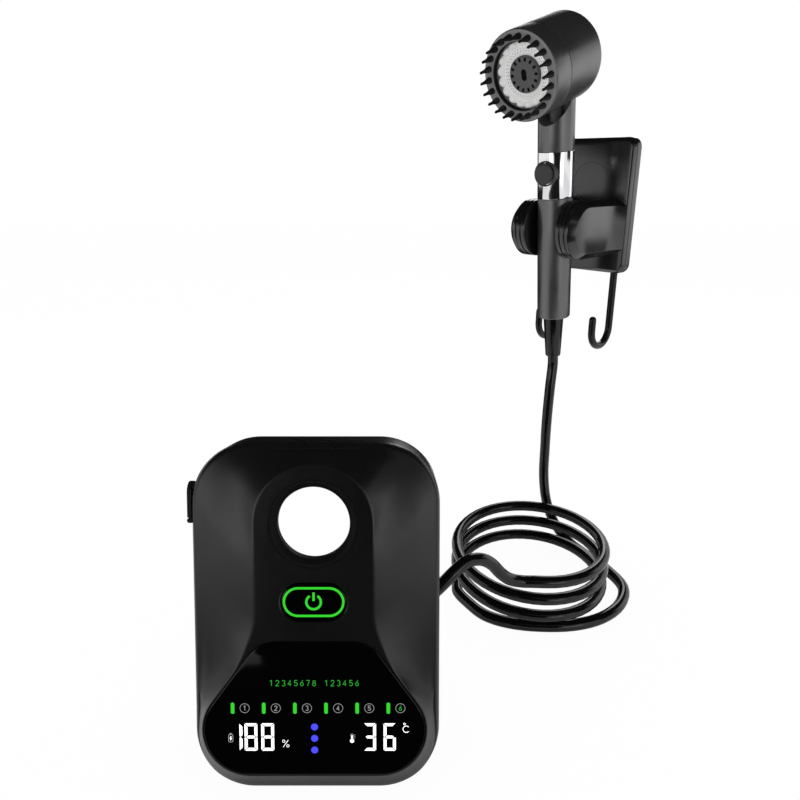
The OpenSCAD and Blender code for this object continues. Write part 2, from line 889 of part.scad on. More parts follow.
// Charging port
module charge_port() {
  color([0.7, 0.7, 0.72])
  on_face()
    translate([-side_x + wall, socket_y, port_z])
      difference() {
        translate([0, -5, -3.2])
          cube([8, 10, 6.4]);
        translate([-1, -4.5, -1.6])
          cube([7, 9, 3.2]);
      }
}
module port_hinge() {
  color([0.06, 0.06, 0.06])
  on_face()
    translate([port_x, hinge_y, port_z]) {
      for (z = [-1, 1])
        translate([0, 0, z * (port_w / 2 - 0.8) - 0.8]) {
          cylinder(h = 1.6, r = 1.3);
          translate([0, -1.3, 0])
            cube([-side_x - port_x, 2.6, 1.6]);
        }
      translate([0, 0, -port_w / 2])
        cylinder(h = port_w, r = pin_r);
    }
}
module port_cover() {
  color([0.05, 0.05, 0.05])
  on_face()
    difference() {
      union() {
        translate([port_x - port_t / 2, port_y, port_z])
          rotate([0, 90, 0])
            linear_extrude(port_t)
              capsule(port_w, port_w - 0.01);
        translate([port_x - port_t / 2, hinge_y + 1.3 + gap, port_z - port_w / 2])
          cube([port_t, port_len - 1.5 - port_w / 2, port_w]);
        translate([port_x - port_t / 2, port_y + port_len / 2 - port_w / 2 - 1.5, port_z])
          rotate([0, 90, 0])
            cylinder(h = port_t, r = port_w / 2);
        translate([port_x - port_t / 2, hinge_y, port_z - port_w / 2 + 1.6 + gap])
          cube([port_t * 0.5, 3, port_w - 3.2 - 2 * gap]);
        translate([port_x, hinge_y, port_z - port_w / 2 + 1.6 + gap])
          cylinder(h = port_w - 3.2 - 2 * gap, r = port_t / 2);
        translate([port_x, socket_y - 3.6, port_z - 1.2])
          cube([port_t / 2 + gap + 1.6, 7.2, 2.4]);
      }
      translate([port_x, hinge_y, port_z - port_w])
        cylinder(h = 2 * port_w, r = pin_r + run);
    }
}

// Hose
coil_mid = [144, 149];
coil_turns = 2.75;
coil_top = hose_r + 1 + coil_pitch * coil_turns;
coil_steps = 66;
function coil_at(a) =
    [coil_mid[0] + coil_rx * sin(a), coil_mid[1] - coil_ry * cos(a), coil_top - coil_pitch * a / 360];
function unit(v) = v / norm(v);
function axis_of(p, i) =
    i == 0 ? unit(p[1] - p[0])
    : i == len(p) - 1 ? unit(p[i] - p[i - 1])
    : unit(unit(p[i + 1] - p[i]) + unit(p[i] - p[i - 1]));
function sides_to(p, i, s) =
    i == len(p) ? s
    : let (t = axis_of(p, i), u = i == 0 ? (abs(t[2]) < 0.7 ? [0, 0, 1] : [1, 0, 0]) : s[i - 1])
      sides_to(p, i + 1, concat(s, [unit(u - (u * t) * t)]));
module sweep(p, r, n) {
  m = len(p);
  u = sides_to(p, 0, []);
  points = [for (i = [0:m - 1], k = [0:n - 1])
    let (t = axis_of(p, i), v = cross(t, u[i]), a = 360 * k / n)
    p[i] + r * (cos(a) * u[i] + sin(a) * v)];
  walls = [for (i = [0:m - 2], k = [0:n - 1])
    let (j = (k + 1) % n)
    each [[i * n + k, (i + 1) * n + k, i * n + j], [i * n + j, (i + 1) * n + k, (i + 1) * n + j]]];
  ends = [for (k = [1:n - 2]) each [[0, k, k + 1], [(m - 1) * n, (m - 1) * n + k + 1, (m - 1) * n + k]]];
  polyhedron(points = points, faces = concat(walls, ends), convexity = 10);
}
coil_end = 360 * coil_turns;
start_dir = unit(coil_at(0.5) - coil_at(0));
end_dir = unit(coil_at(coil_end) - coil_at(coil_end - 0.5));
coil_in = coil_at(0) - 2 * hose_r * start_dir;
coil_out = coil_at(coil_end) + 2 * hose_r * end_dir;
loop_end = [205.5, 173.5, 4.6];
coil_path = concat([coil_in], [for (i = [0:coil_steps]) coil_at(coil_end * i / coil_steps)],
    [coil_out, coil_out + 9 * end_dir],
    [[94, 120, 4.5], [105, 104, 4.4], [121, 95, 4.4], [143, 91, 4.4], [168, 92, 4.4], [190, 100, 4.4],
    [208, 116, 4.4], [217, 138, 4.4], [211, 163, 4.4], loop_end]);
nut_z = -handle_low - nut_len;
function turned(p) =
    [hold_x + p[0] * cos(wall_turn) + p[1] * sin(wall_turn),
    hold_y - p[0] * sin(wall_turn) + p[1] * cos(wall_turn), hold_z + p[2]];
function handset_point(z) = turned([0, -z * sin(rest_tilt), z * cos(rest_tilt)]);
run_path = concat([[hose_x, elbow_y, outlet_z], [hose_x + 9, elbow_y, outlet_z]],
    [[51, 54.5, 47], [61, 57, 51.5], [70, 60.5, 58], [79, 65, 65.5], [88, 70.5, 70], [97, 75.5, 68.5],
    [105, 79.5, 62.5], [112, 82.2, 53.5], [119, 84.8, 47]],
    [coil_in - 8 * start_dir, coil_in]);
drop_path = concat([loop_end], [[200, 184, 4.8], [188, 203, 8], [179, 219, 18],
    [174, 230, 33], [172, 237, 53], [172, 240, 76], [172.2, 242, 105], [173.4, 244.2, 135]],
    [handset_point(nut_z - 2 * hose_r), handset_point(nut_z)]);
coil_gap = min([for (i = [0:len(coil_path) - 1], j = [i + 6:1:len(coil_path) - 1])
    norm(coil_path[i] - coil_path[j])]) - 2 * hose_r;
module hose_pump_run() {
  color([0.03, 0.03, 0.03])
  sweep(run_path, hose_r, 10);
}
module hose_coil() {
  color([0.03, 0.03, 0.03])
  sweep(coil_path, hose_r, 6);
}
module hose_drop() {
  color([0.03, 0.03, 0.03])
  sweep(drop_path, hose_r, 10);
}
echo(least_gap_of_coil = coil_gap);

// Wall holder
module wall_plate() {
  color([0.3, 0.3, 0.31])
  on_wall()
    translate([0, pad_y, plate_rise])
      rotate([90, 0, 0])
        hull() {
          linear_extrude(plate_t - 3)
            round_box(plate_w, plate_h, plate_r);
          linear_extrude(plate_t)
            round_box(plate_w - 6, plate_h - 6, plate_r - 3);
        }
}
module adhesive_pad() {
  color([0.8, 0.8, 0.8])
  on_wall()
    translate([0, pad_y + pad_t, plate_rise])
      rotate([90, 0, 0])
        linear_extrude(pad_t)
          round_box(plate_w - 8, plate_h - 8, plate_r - 3);
}
module arm() {
  difference() {
    union() {
      along_x(arm_in, 0, 0)
        cylinder(h = arm_t - arm_bevel, r = arm_r);
      along_x(arm_in + arm_t - arm_bevel, 0, 0)
        cylinder(h = arm_bevel, r1 = arm_r, r2 = arm_r - arm_bevel);
      rotate([-90, 0, 0])
        linear_extrude(hold_reach)
          polygon([[arm_in, -arm_r], [arm_in + arm_t - arm_bevel, -arm_r],
              [arm_in + arm_t, arm_bevel - arm_r], [arm_in + arm_t, arm_r - arm_bevel],
              [arm_in + arm_t - arm_bevel, arm_r], [arm_in, arm_r]]);
    }
    along_x(arm_in - 1, 0, 0)
      cylinder(h = arm_t - 1, r = pivot_r);
  }
}
module left_arm() {
  color([0.4, 0.4, 0.41])
  on_wall()
    mirror([1, 0, 0])
      arm();
}
module right_arm() {
  color([0.4, 0.4, 0.41])
  on_wall()
    arm();
}
module hook(x) {
  translate([x, hold_reach + plate_t - 4, plate_low]) {
    translate([0, 0, -hook_shank])
      cylinder(h = hook_shank, r = hook_wire);
    translate([0, -hook_bend, -hook_shank])
      rotate([0, 90, 0])
        rotate([0, 0, -90])
          rotate_extrude(angle = 180)
            translate([hook_bend, 0])
              circle(r = hook_wire);
    translate([0, -2 * hook_bend, -hook_shank])
      cylinder(h = hook_bend - 4, r = hook_wire);
    translate([0, -2 * hook_bend, hook_bend - 4 - hook_shank])
      sphere(r = hook_wire);
  }
}
module left_hook() {
  color([0.35, 0.35, 0.36])
  on_wall()
    hook(-hook_x);
}
module right_hook() {
  color([0.35, 0.35, 0.36])
  on_wall()
    hook(hook_x);
}
module pivot_pins() {
  color([0.6, 0.6, 0.62])
  on_wall()
    for (s = [0, 1])
      mirror([s, 0, 0])
        along_x(ring_in + 2, 0, 0)
          cylinder(h = arm_in + arm_t - 2 - ring_in - 2, r = pivot_r);
}
module ring() {
  difference() {
    along_x(ring_in, 0, 0)
      cylinder(h = ring_t, r = arm_r);
    along_x(ring_in + ring_t / 2 - 0.5, 0, 0)
      tube(1, arm_r + 1, arm_r - 1);
    along_x(ring_in + 1.5, 0, 0)
      cylinder(h = ring_t, r = pivot_r + run);
  }
}
module left_ring() {
  color([0.38, 0.38, 0.39])
  on_handset()
    mirror([1, 0, 0])
      ring();
}
module right_ring() {
  color([0.38, 0.38, 0.39])
  on_handset()
    ring();
}
module cradle_web() {
  color([0.3, 0.3, 0.31])
  on_handset()
    difference() {
      translate([-ring_in, 8, -8.5])
        cube([2 * ring_in, 12, 17]);
      translate([0, 0, -20])
        cylinder(h = 40, r = handle_r_at + gap);
    }
}

// Hand shower
module handle_shell() {
  color([0.3, 0.3, 0.31])
  on_handset()
    difference() {
      translate([0, 0, -handle_low])
        cylinder(h = handle_low + handle_high, r1 = handle_low_r, r2 = handle_r_at);
      translate([0, 0, 4 - handle_low])
        cylinder(h = handle_low + handle_high, r = handle_low_r - 2);
      translate([0, 0, -handle_low - 1])
        cylinder(h = 10, r = 6 + fit);
    }
}
module filter_cartridge() {
  color([0.9, 0.88, 0.8])
  on_handset()
    translate([0, 0, 4 - handle_low])
      difference() {
        cylinder(h = handle_low + handle_high - 6, r = handle_low_r - 2.4);
        translate([0, 0, -1])
          cylinder(h = 14, r = 6 + fit);
      }
}
module chrome_band() {
  color([0.8, 0.8, 0.82])
  on_handset()
    difference() {
      translate([0, 0, band_low])
        tube(band_len, band_r, band_r - 1.5);
      translate([0, 0, stop_z])
        rotate([90, 0, 0])
          cylinder(h = 2 * band_r, r = 4.6);
    }
}
module valve_body() {
  color([0.85, 0.85, 0.84])
  on_handset()
    difference() {
      translate([0, 0, band_low])
        cylinder(h = band_len, r = band_r - 1.5 - fit);
      translate([0, 10, stop_z])
        rotate([90, 0, 0])
          cylinder(h = 2 * band_r, r = 3.5 + run);
    }
}
module stop_collar() {
  color([0.75, 0.75, 0.77])
  on_handset()
    difference() {
      translate([0, 0, stop_z])
        rotate([90, 0, 0])
          tube(stop_low - 0.2, stop_r + 1.4, stop_r + gap);
      translate([0, 0, band_low - 10])
        cylinder(h = band_len + 20, r = band_r);
      translate([-50, 0, 0])
        cube([100, 50, 200]);
    }
}
module stop_button() {
  color([0.2, 0.2, 0.21])
  on_handset()
    translate([0, 0, stop_z])
      rotate([90, 0, 0]) {
        translate([0, 0, stop_low])
          cylinder(h = stop_t - stop_edge, r = stop_r);
        translate([0, 0, stop_low + stop_t - stop_edge])
          cylinder(h = stop_edge, r1 = stop_r, r2 = stop_r - stop_edge);
        translate([0, 0, -5])
          cylinder(h = stop_low + 5.5, r = 3.5);
      }
}
module neck() {
  color([0.3, 0.3, 0.31])
  difference() {
    on_handset()
      translate([0, 0, band_high])
        tube(head_z - band_high, band_r, neck_in);
    on_head() {
      translate([0, 0, -head_back - 20])
        cylinder(h = head_front + head_back + 20, r = head_r);
      translate([0, scoop_r - head_r - scoop_d, neck_in + 0.8])
        cylinder(h = head_front, r = scoop_r);
    }
  }
}
module water_tube() {
  color([0.85, 0.85, 0.84])
  difference() {
    on_handset()
      translate([0, 0, band_high])
        tube(head_z - band_high, tube_r, tube_in);
    on_head()
      translate([0, 0, -head_back - 20])
        cylinder(h = head_front + head_back + 20, r = head_r);
  }
}
module head_shell() {
  color([0.32, 0.32, 0.33])
  difference() {
    on_head()
      rotate_extrude()
        polygon([[0, -head_back], [head_r - 8, -head_back], [head_r - 2.4, 2.4 - head_back],
            [head_r, 8 - head_back], [head_r, seam_z], [spigot_r, seam_z], [spigot_r, head_front - 4],
            [spigot_r - spigot_t, head_front - 4], [spigot_r - spigot_t, spray_z - 2.2],
            [spigot_r - 4, spray_z - 2.2], [spigot_r - 4, seam_z - 4], [head_r - 2.5, seam_z - 4],
            [head_r - 2.5, 9 - head_back], [head_r - 5, 4.5 - head_back], [0, 4 - head_back]]);
    on_handset()
      translate([0, 0, band_high])
        cylinder(h = head_z - band_high, r = tube_in);
  }
}
module mode_ring() {
  color([0.36, 0.36, 0.37])
  on_head()
    difference() {
      rotate_extrude()
        polygon([[face_r, seam_z + gap], [comb_in, seam_z + gap], [comb_in, head_front - 1.5],
            [comb_out, head_front - 1.5], [comb_out, seam_z + gap], [head_r, seam_z + gap],
            [head_r, head_front - 2], [head_r - 2, head_front], [face_r + 0.8, head_front],
            [face_r, head_front - 0.8]]);
      for (i = [0:comb_count - 1])
        rotate([0, 0, 360 * i / comb_count])
          translate([comb_r, 0, head_front - 3])
            cylinder(h = 5, r = 1.7 + fit, $fn = 20);
    }
}
module comb_ring() {
  color([0.05, 0.05, 0.05])
  on_head() {
    translate([0, 0, head_front - 3.5 - fit])
      tube(2, comb_out - fit, comb_in + fit);
    for (i = [0:comb_count - 1])
      rotate([0, 0, 360 * i / comb_count])
        translate([comb_r, 0, head_front - 2]) {
          cylinder(h = 4, r = 1.7, $fn = 20);
          translate([0, 0, 4])
            cylinder(h = comb_len - 2.5, r1 = 1.7, r2 = 0.9, $fn = 20);
        }
  }
}
module spray_plate() {
  color([0.95, 0.95, 0.95])
  on_head()
    difference() {
      translate([0, 0, spray_z - 2.2])
        tube(2.2, spigot_r - spigot_t - fit, disc_r);
      for (k = [0:1], i = [0:23 + 6 * k])
        rotate([0, 0, 360 * i / (24 + 6 * k)])
          translate([15.6 + 2.6 * k, 0, spray_z - 4])
            cylinder(h = 6, r = 0.5, $fn = 16);
    }
}
module center_disc() {
  color([0.2, 0.2, 0.21])
  on_head()
    difference() {
      translate([0, 0, spray_z - 2.2])
        cylinder(h = 5, r = disc_r - fit);
      for (i = [0:13])
        rotate([0, 0, 360 * i / 14])
          translate([disc_r - 3.6, -0.9, spray_z + 1])
            cube([2.6, 1.8, 3]);
      translate([0, 0, spray_z + 1])
        rotate([0, 0, 90])
          linear_extrude(3)
            capsule(7.6, 4.2);
    }
}
module hose_nut() {
  color([0.04, 0.04, 0.04])
  on_handset() {
    translate([0, 0, nut_z])
      cylinder(h = nut_len, r1 = nut_low_r, r2 = nut_high_r);
    translate([0, 0, -handle_low - 1])
      cylinder(h = 13, r = 6);
  }
}

front_cover();
rear_cover();
cover_gasket();
hole_sleeve();
cover_screws();
display_lens();
display_board();
display_digits();
gear_leds();
status_leds();
power_button();
button_light();
button_switch();
main_board();
battery_cells();
battery_tray();
motor_can();
motor_endcap();
motor_armature();
motor_shaft();
impeller();
volute_body();
volute_cover();
shaft_seal();
inlet_filter();
inlet_grille();
outlet_link();
temperature_probe();
outlet_elbow();
hose_collar();
charge_port();
port_hinge();
port_cover();
hose_pump_run();
hose_coil();
hose_drop();
wall_plate();
adhesive_pad();
left_arm();
right_arm();
left_hook();
right_hook();
pivot_pins();
left_ring();
right_ring();
cradle_web();
handle_shell();
filter_cartridge();
chrome_band();
valve_body();
stop_collar();
stop_button();
neck();
water_tube();
head_shell();
mode_ring();
comb_ring();
spray_plate();
center_disc();
hose_nut();
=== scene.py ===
"""Camp shower pump set: pump unit with display, coiled hose, hand shower and wall holder."""

import math
from types import SimpleNamespace

import bmesh
import bpy
import numpy as np
from bpy.props import FloatProperty, FloatVectorProperty, IntProperty, PointerProperty
from mathutils import Matrix


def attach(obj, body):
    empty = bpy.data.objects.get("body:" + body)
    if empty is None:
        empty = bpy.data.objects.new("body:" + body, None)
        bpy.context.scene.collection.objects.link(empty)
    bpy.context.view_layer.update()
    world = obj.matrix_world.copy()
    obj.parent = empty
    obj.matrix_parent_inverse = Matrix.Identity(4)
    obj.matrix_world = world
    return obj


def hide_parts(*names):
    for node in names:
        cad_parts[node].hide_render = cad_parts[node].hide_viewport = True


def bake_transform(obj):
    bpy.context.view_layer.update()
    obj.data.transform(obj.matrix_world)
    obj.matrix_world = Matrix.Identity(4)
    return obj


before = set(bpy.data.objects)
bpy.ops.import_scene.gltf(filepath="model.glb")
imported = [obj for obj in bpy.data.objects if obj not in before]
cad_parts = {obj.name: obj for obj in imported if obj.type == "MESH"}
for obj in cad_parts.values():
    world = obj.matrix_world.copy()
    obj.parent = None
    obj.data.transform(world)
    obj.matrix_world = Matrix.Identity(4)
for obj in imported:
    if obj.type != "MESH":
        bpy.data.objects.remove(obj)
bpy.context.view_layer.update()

bl_info = {
    "name": "Camp shower pump",
    "version": (1, 0, 0),
    "blender": (4, 5, 0),
    "location": "3D View > Sidebar > Shower pump",
    "description": "Builds a camp shower pump with its hose, hand shower and wall holder",
    "category": "Add Mesh",
}

ROOT = "pump_and_holder"
# Shapes are drawn in millimetres; points nearer than WELD metres become one
MM = Matrix.Scale(0.001, 4)
WELD = 2e-7
SHARP = math.radians(32)


# Properties


def length(name, description, default):
    """A length property in metres."""
    return FloatProperty(
        name=name, description=description, default=default, min=0.0, unit="LENGTH", subtype="DISTANCE"
    )


def angle(name, description, degrees):
    """An angle property."""
    return FloatProperty(
        name=name, description=description, default=math.radians(degrees), unit="ROTATION", subtype="ANGLE"
    )


def colour(name, description, default):
    """A linear colour property."""
    return FloatVectorProperty(
        name=name, description=description, default=default, size=3, min=0.0, max=1.0, subtype="COLOR"
    )


class ShowerPumpSizes(bpy.types.PropertyGroup):
    """Sizes of the pump unit."""

    body_w: length("Body width", "Width of the housing across its face", 0.130)
    body_h: length("Body height", "Height of the housing along its face", 0.185)
    corner_r: length("Corner radius", "Radius of the face's corners", 0.032)
    base_d: length("Base depth", "Depth of the base on the floor", 0.076)
    lean: angle("Face lean", "Angle that the face leans back from upright", 15)
    wall: length("Wall", "Wall thickness of both covers", 0.0025)
    front_d: length("Front depth", "Depth of the front cover behind the face's rim", 0.022)
    rise: length("Plateau rise", "Height of the raised middle above the rim", 0.010)
    face_t: length("Face thickness", "Thickness of the raised middle", 0.004)
    column_w: length("Column width", "Width of the raised column round the hole", 0.062)
    hole_r: length("Hole radius", "Radius of the carry hole", 0.0185)
    hole_y: length("Hole height", "Height of the carry hole up the face", 0.145)
    hole_bore: length("Hole bore", "Length of the carry hole's straight bore", 0.005)
    hole_chamfer: length("Hole chamfer", "Depth of the carry hole's chamfer", 0.0025)
    flare_r: length("Flare radius", "Radius of the carry hole at the back", 0.033)
    sleeve_t: length("Sleeve wall", "Wall thickness of the carry hole's sleeve", 0.0016)
    lens_w: length("Lens width", "Width of the display lens", 0.114)
    lens_low: length("Lens lower edge", "Height of the lens's lower edge", 0.013)
    lens_high: length("Lens upper edge", "Height of the lens's upper edge", 0.084)
    lens_low_r: length("Lens lower radius", "Radius of the lens's lower corners", 0.024)
    lens_high_r: length("Lens upper radius", "Radius of the lens's upper corners", 0.0185)
    lens_high_w: length("Lens upper width", "Width of the lens across its upper corners", 0.075)
    socket_y: length("Socket place", "Height of the charging socket up the face", 0.148)
    socket_w: length("Socket opening", "Length of the charging socket's opening", 0.0096)
    socket_h: length("Socket depth", "Depth of the charging socket's opening", 0.005)
    socket_z: length("Socket setback", "Distance of the charging socket behind the face's rim", 0.009)
    inlet_x: length("Inlet across", "Distance of the inlet left of the middle", 0.024)
    inlet_z: length("Inlet height", "Height of the inlet in the back", 0.033)
    inlet_r: length("Inlet radius", "Radius of the inlet's opening", 0.014)
    outlet_x: length("Outlet across", "Distance of the outlet right of the middle", 0.012)
    outlet_z: length("Outlet height", "Height of the outlet in the back", 0.046)
    outlet_r: length("Outlet radius", "Radius of the outlet's opening", 0.0046)
    screw_low: length("Lower screws", "Height of the lower screws up the face", 0.048)
    screw_high: length("Upper screws", "Height of the upper screws up the face", 0.120)
    screw_r: length("Screw well", "Radius of the wells over the screws", 0.0031)
    tower_r: length("Tower radius", "Outer radius of the screw towers", 0.004)
    tower_bore: length("Tower bore", "Radius of the bore in the screw towers", 0.0015)
    tower_len: length("Tower length", "Length of the screw towers", 0.008)
    button_w: length("Button width", "Width of the power button", 0.0336)
    button_h: length("Button height", "Height of the power button", 0.0196)
    button_y: length("Button place", "Height of the power button up the face", 0.1046)


class ShowerHoseSizes(bpy.types.PropertyGroup):
    """Sizes of the hose and its coil."""

    radius: length("Hose radius", "Outer radius of the hose", 0.00425)
    coil_rx: length("Coil width radius", "Sideways radius of the coil's middle line", 0.0555)
    coil_ry: length("Coil depth radius", "Front to back radius of the coil's middle line", 0.062)
    coil_x: length("Coil across", "Sideways place of the coil's middle", 0.144)
    coil_y: length("Coil back", "Front to back place of the coil's middle", 0.149)
    turns: FloatProperty(name="Turns", description="Turns of the coil", default=2.75, min=0.0)
    pitch: length("Coil pitch", "Rise of the coil for each turn", 0.0138)
    lift: length("Coil lift", "Gap between the coil and the floor", 0.001)


class ShowerHolderSizes(bpy.types.PropertyGroup):
    """Sizes of the wall holder and the hand shower."""

    hold_x: length("Holder across", "Sideways place of the tilt axis", 0.1665)
    hold_y: length("Holder back", "Front to back place of the tilt axis", 0.239)
    hold_z: length("Holder height", "Height of the tilt axis", 0.2665)
    wall_turn: angle("Wall turn", "Turn of the holder's wall about the upright axis", 45)
    tilt: angle("Rest tilt", "Tilt of the hand shower as it hangs", 6)
    reach: length("Reach", "Distance from the tilt axis to the plate's front", 0.048)
    plate_w: length("Plate width", "Width of the wall plate", 0.074)
    plate_h: length("Plate height", "Height of the wall plate", 0.106)
    plate_t: length("Plate thickness", "Thickness of the wall plate", 0.010)
    plate_r: length("Plate corner", "Corner radius of the wall plate", 0.008)
    plate_rise: length("Plate rise", "Rise of the plate's middle above the tilt axis", 0.0155)
    arm_r: length("Arm radius", "Radius of the arms' round ends and of the rings", 0.022)
    arm_t: length("Arm thickness", "Thickness of each arm", 0.008)
    ring_in: length("Ring place", "Distance of a ring's inner face from the middle", 0.0139)
    ring_t: length("Ring width", "Width of each pivot ring", 0.0078)
    handle_low_r: length("Handle lower radius", "Radius of the handle at its lower end", 0.0132)
    handle_mid_r: length("Handle middle radius", "Radius of the handle at the tilt axis", 0.0135)
    handle_low: length("Handle below", "Length of the handle below the tilt axis", 0.0715)
    handle_high: length("Handle above", "Length of the handle above the tilt axis", 0.024)
    band_len: length("Band length", "Length of the chrome band", 0.034)
    band_r: length("Band radius", "Radius of the chrome band", 0.0137)
    head_z: length("Head height", "Height of the head's axis above the tilt axis", 0.1205)
    head_r: length("Head radius", "Outer radius of the head", 0.030)
    head_front: length("Head front", "Distance from the handle's axis to the head's front", 0.0475)
    head_back: length("Head back", "Distance from the handle's axis to the head's back", 0.015)
    head_down: angle("Head angle", "Angle of the head's axis below square to the handle", 13)
    mode_len: length("Mode ring length", "Length of the turning mode ring", 0.018)
    face_r: length("Face radius", "Radius of the opening in the mode ring's front", 0.0225)
    comb_len: length("Point length", "Length of the silicone points", 0.011)
    comb_count: IntProperty(name="Points", description="Number of silicone points", default=22, min=3)
    disc_r: length("Disc radius", "Radius of the disc in the middle of the spray plate", 0.0122)
    scoop_r: length("Scoop radius", "Radius of the scoop in the neck under the head", 0.0136)
    scoop_d: length("Scoop depth", "Depth of the scoop below the head", 0.010)
    stop_r: length("Stop button radius", "Radius of the stop button", 0.0078)
    stop_rise: length("Stop button place", "Height of the stop button up the chrome band", 0.019)
    stop_travel: length("Stop button travel", "Travel of the stop button", 0.0015)
    nut_low_r: length("Nut lower radius", "Radius of the hose nut at its lower end", 0.0062)
    nut_high_r: length("Nut upper radius", "Radius of the hose nut at its upper end", 0.0082)
    nut_len: length("Nut length", "Length of the hose nut", 0.0345)


class ShowerFinishes(bpy.types.PropertyGroup):
    """Colours of the set, in linear light."""

    shell: colour("Housing", "Satin black of the pump's housing", (0.0042, 0.0042, 0.0044))
    lens: colour("Lens", "Glossy black of the display lens", (0.0007, 0.0007, 0.0008))
    hose: colour("Hose", "Black of the hose", (0.0024, 0.0024, 0.0026))
    grey: colour("Grey", "Grey of the hand shower", (0.150, 0.150, 0.154))
    holder: colour("Holder", "Black of the wall holder", (0.0048, 0.0048, 0.0050))
    # ring is a lighter grey for the head's front face: painted light where that face catches the left lamp
    ring: colour("Ring", "Grey of the head's front ring", (0.17, 0.17, 0.175))
    disc: colour("Disc", "Grey of the disc in the spray plate", (0.080, 0.080, 0.082))
    dark: colour("Dark grey", "Dark grey of the stop button", (0.030, 0.030, 0.032))
    rubber: colour("Rubber", "Black of the silicone points and seals", (0.005, 0.005, 0.0052))
    white: colour("White", "White of the spray plate", (0.95, 0.95, 0.94))
    chrome: colour("Chrome", "Tint of the chrome band", (0.86, 0.86, 0.87))
    green: colour("Green light", "Green of the lit signs", (0.0165, 0.37, 0.0125))
    faint: colour("Faint green", "Green of the fainter line of numbers", (0.014, 0.28, 0.022))
    blue: colour("Blue light", "Blue of the three dots", (0.038, 0.040, 0.60))
    dim: colour("Dim light", "Grey of the fainter signs", (0.27, 0.27, 0.275))
    lit: colour("White light", "White of the lit numbers", (0.93, 0.93, 0.95))


def sizes(name):
    """A property group's values, with lengths in millimetres and angles in degrees."""
    group = getattr(bpy.context.scene, name)
    values = {}
    for key in group.__annotations__:
        value = getattr(group, key)
        unit = getattr(group.bl_rna.properties[key], "unit", "NONE")
        if unit == "LENGTH":
            value = round(value * 1000, 4)
        elif unit == "ROTATION":
            value = math.degrees(value)
        values[key] = value
    return SimpleNamespace(**values)


def move(x, y, z):
    """A translation in millimetres."""
    return Matrix.Translation((x, y, z))


def turn(degrees, axis):
    """A rotation about an axis."""
    return Matrix.Rotation(math.radians(degrees), 4, axis)


def face_frame():
    """From the leaning face, y up the face and z out of it, to the shared frame."""
    s = sizes("shower_pump")
    return move(0, -s.base_d / 2, 0) @ turn(90 - s.lean, "X")


def wall_frame():
    """From the holder, at its tilt axis with the wall towards +y, to the shared frame."""
    s = sizes("shower_holder")
    return move(s.hold_x, s.hold_y, s.hold_z) @ turn(-s.wall_turn, "Z")


def hand_frame():
    """From the hand shower, z along its handle, to the shared frame."""
    return wall_frame() @ turn(sizes("shower_holder").tilt, "X")


def head_frame():
    """From the head, z along its axis towards the water, to the shared frame."""
    s = sizes("shower_holder")
    return hand_frame() @ move(0, 0, s.head_z) @ turn(90 + s.head_down, "X")


# Shapes, in millimetres


class Solid:
    """Points and faces of one closed piece."""

    def __init__(self):
        self.points = []
        self.faces = []
        self.slots = []

    def skin(self, rings, loop=False, strips=False):
        """Quads between closed rings of equal length; the ends are filled, by strips across, or joined in a loop."""
        base, n, m = len(self.points), len(rings[0]), len(rings)
        faces = []
        for k in range(m if loop else m - 1):
            a, b = k * n, (k + 1) % m * n
            faces += [[a + i, a + (i + 1) % n, b + (i + 1) % n, b + i] for i in range(n)]
        if strips:
            for a in (0, (m - 1) * n):
                faces += [[a + i, a + i + 1, a + n - 2 - i, a + n - 1 - i] for i in range((n - 1) // 2)]
        elif not loop:
            faces += [list(range(n))[::-1], [(m - 1) * n + i for i in range(n)]]
        self.points += [tuple(map(float, p)) for ring in rings for p in ring]
        self.faces += [[base + i for i in f] for f in faces]
        self.slots += [0] * len(faces)
        return self

    def lathe(self, profile, sides, lay=None):
        """Turns a closed profile of (radius, z) points about z."""
        rings = []
        for i in range(sides):
            c, s = math.cos(2 * math.pi * i / sides), math.sin(2 * math.pi * i / sides)
            rings.append([(r * c, r * s, z) for r, z in profile])
        return self.skin(laid(rings, lay), loop=True)

    def paint(self, slot, test):
        """Gives the faces whose middle passes a test another material slot."""
        for i, face in enumerate(self.faces):
            if test(*np.mean([self.points[k] for k in face], axis=0)):
                self.slots[i] = slot
        return self

    def slab(self, shape, levels, lay=None):
        """Stacks an outline, given by its inset, through (inset, z) levels."""
        rings = [[(x, y, z) for x, y in shape(inset)] for inset, z in levels]
        return self.skin(laid(rings, lay))

    def sweep(self, path, radius, sides):
        """A round bar along a path."""
        steps = np.diff(path, axis=0)
        steps /= np.linalg.norm(steps, axis=1)[:, None]
        axes = np.vstack([steps[:1], steps[1:] + steps[:-1], steps[-1:]])
        axes /= np.linalg.norm(axes, axis=1)[:, None]
        side = np.array([0.0, 0.0, 1.0]) if abs(axes[0][2]) < 0.7 else np.array([1.0, 0.0, 0.0])
        turns = np.arange(sides) * 2 * math.pi / sides
        rings = []
        for point, axis in zip(path, axes):
            side = side - (side @ axis) * axis
            side /= np.linalg.norm(side)
            other = np.cross(axis, side)
            rings.append([point + radius * (math.cos(a) * side + math.sin(a) * other) for a in turns])
        return self.skin(rings)


def laid(rings, lay):
    """Rings moved by a matrix, if there is one."""
    if lay is None:
        return rings
    turned = np.array(lay)
    return [[tuple(turned[:3, :3] @ np.array(p) + turned[:3, 3]) for p in ring] for ring in rings]


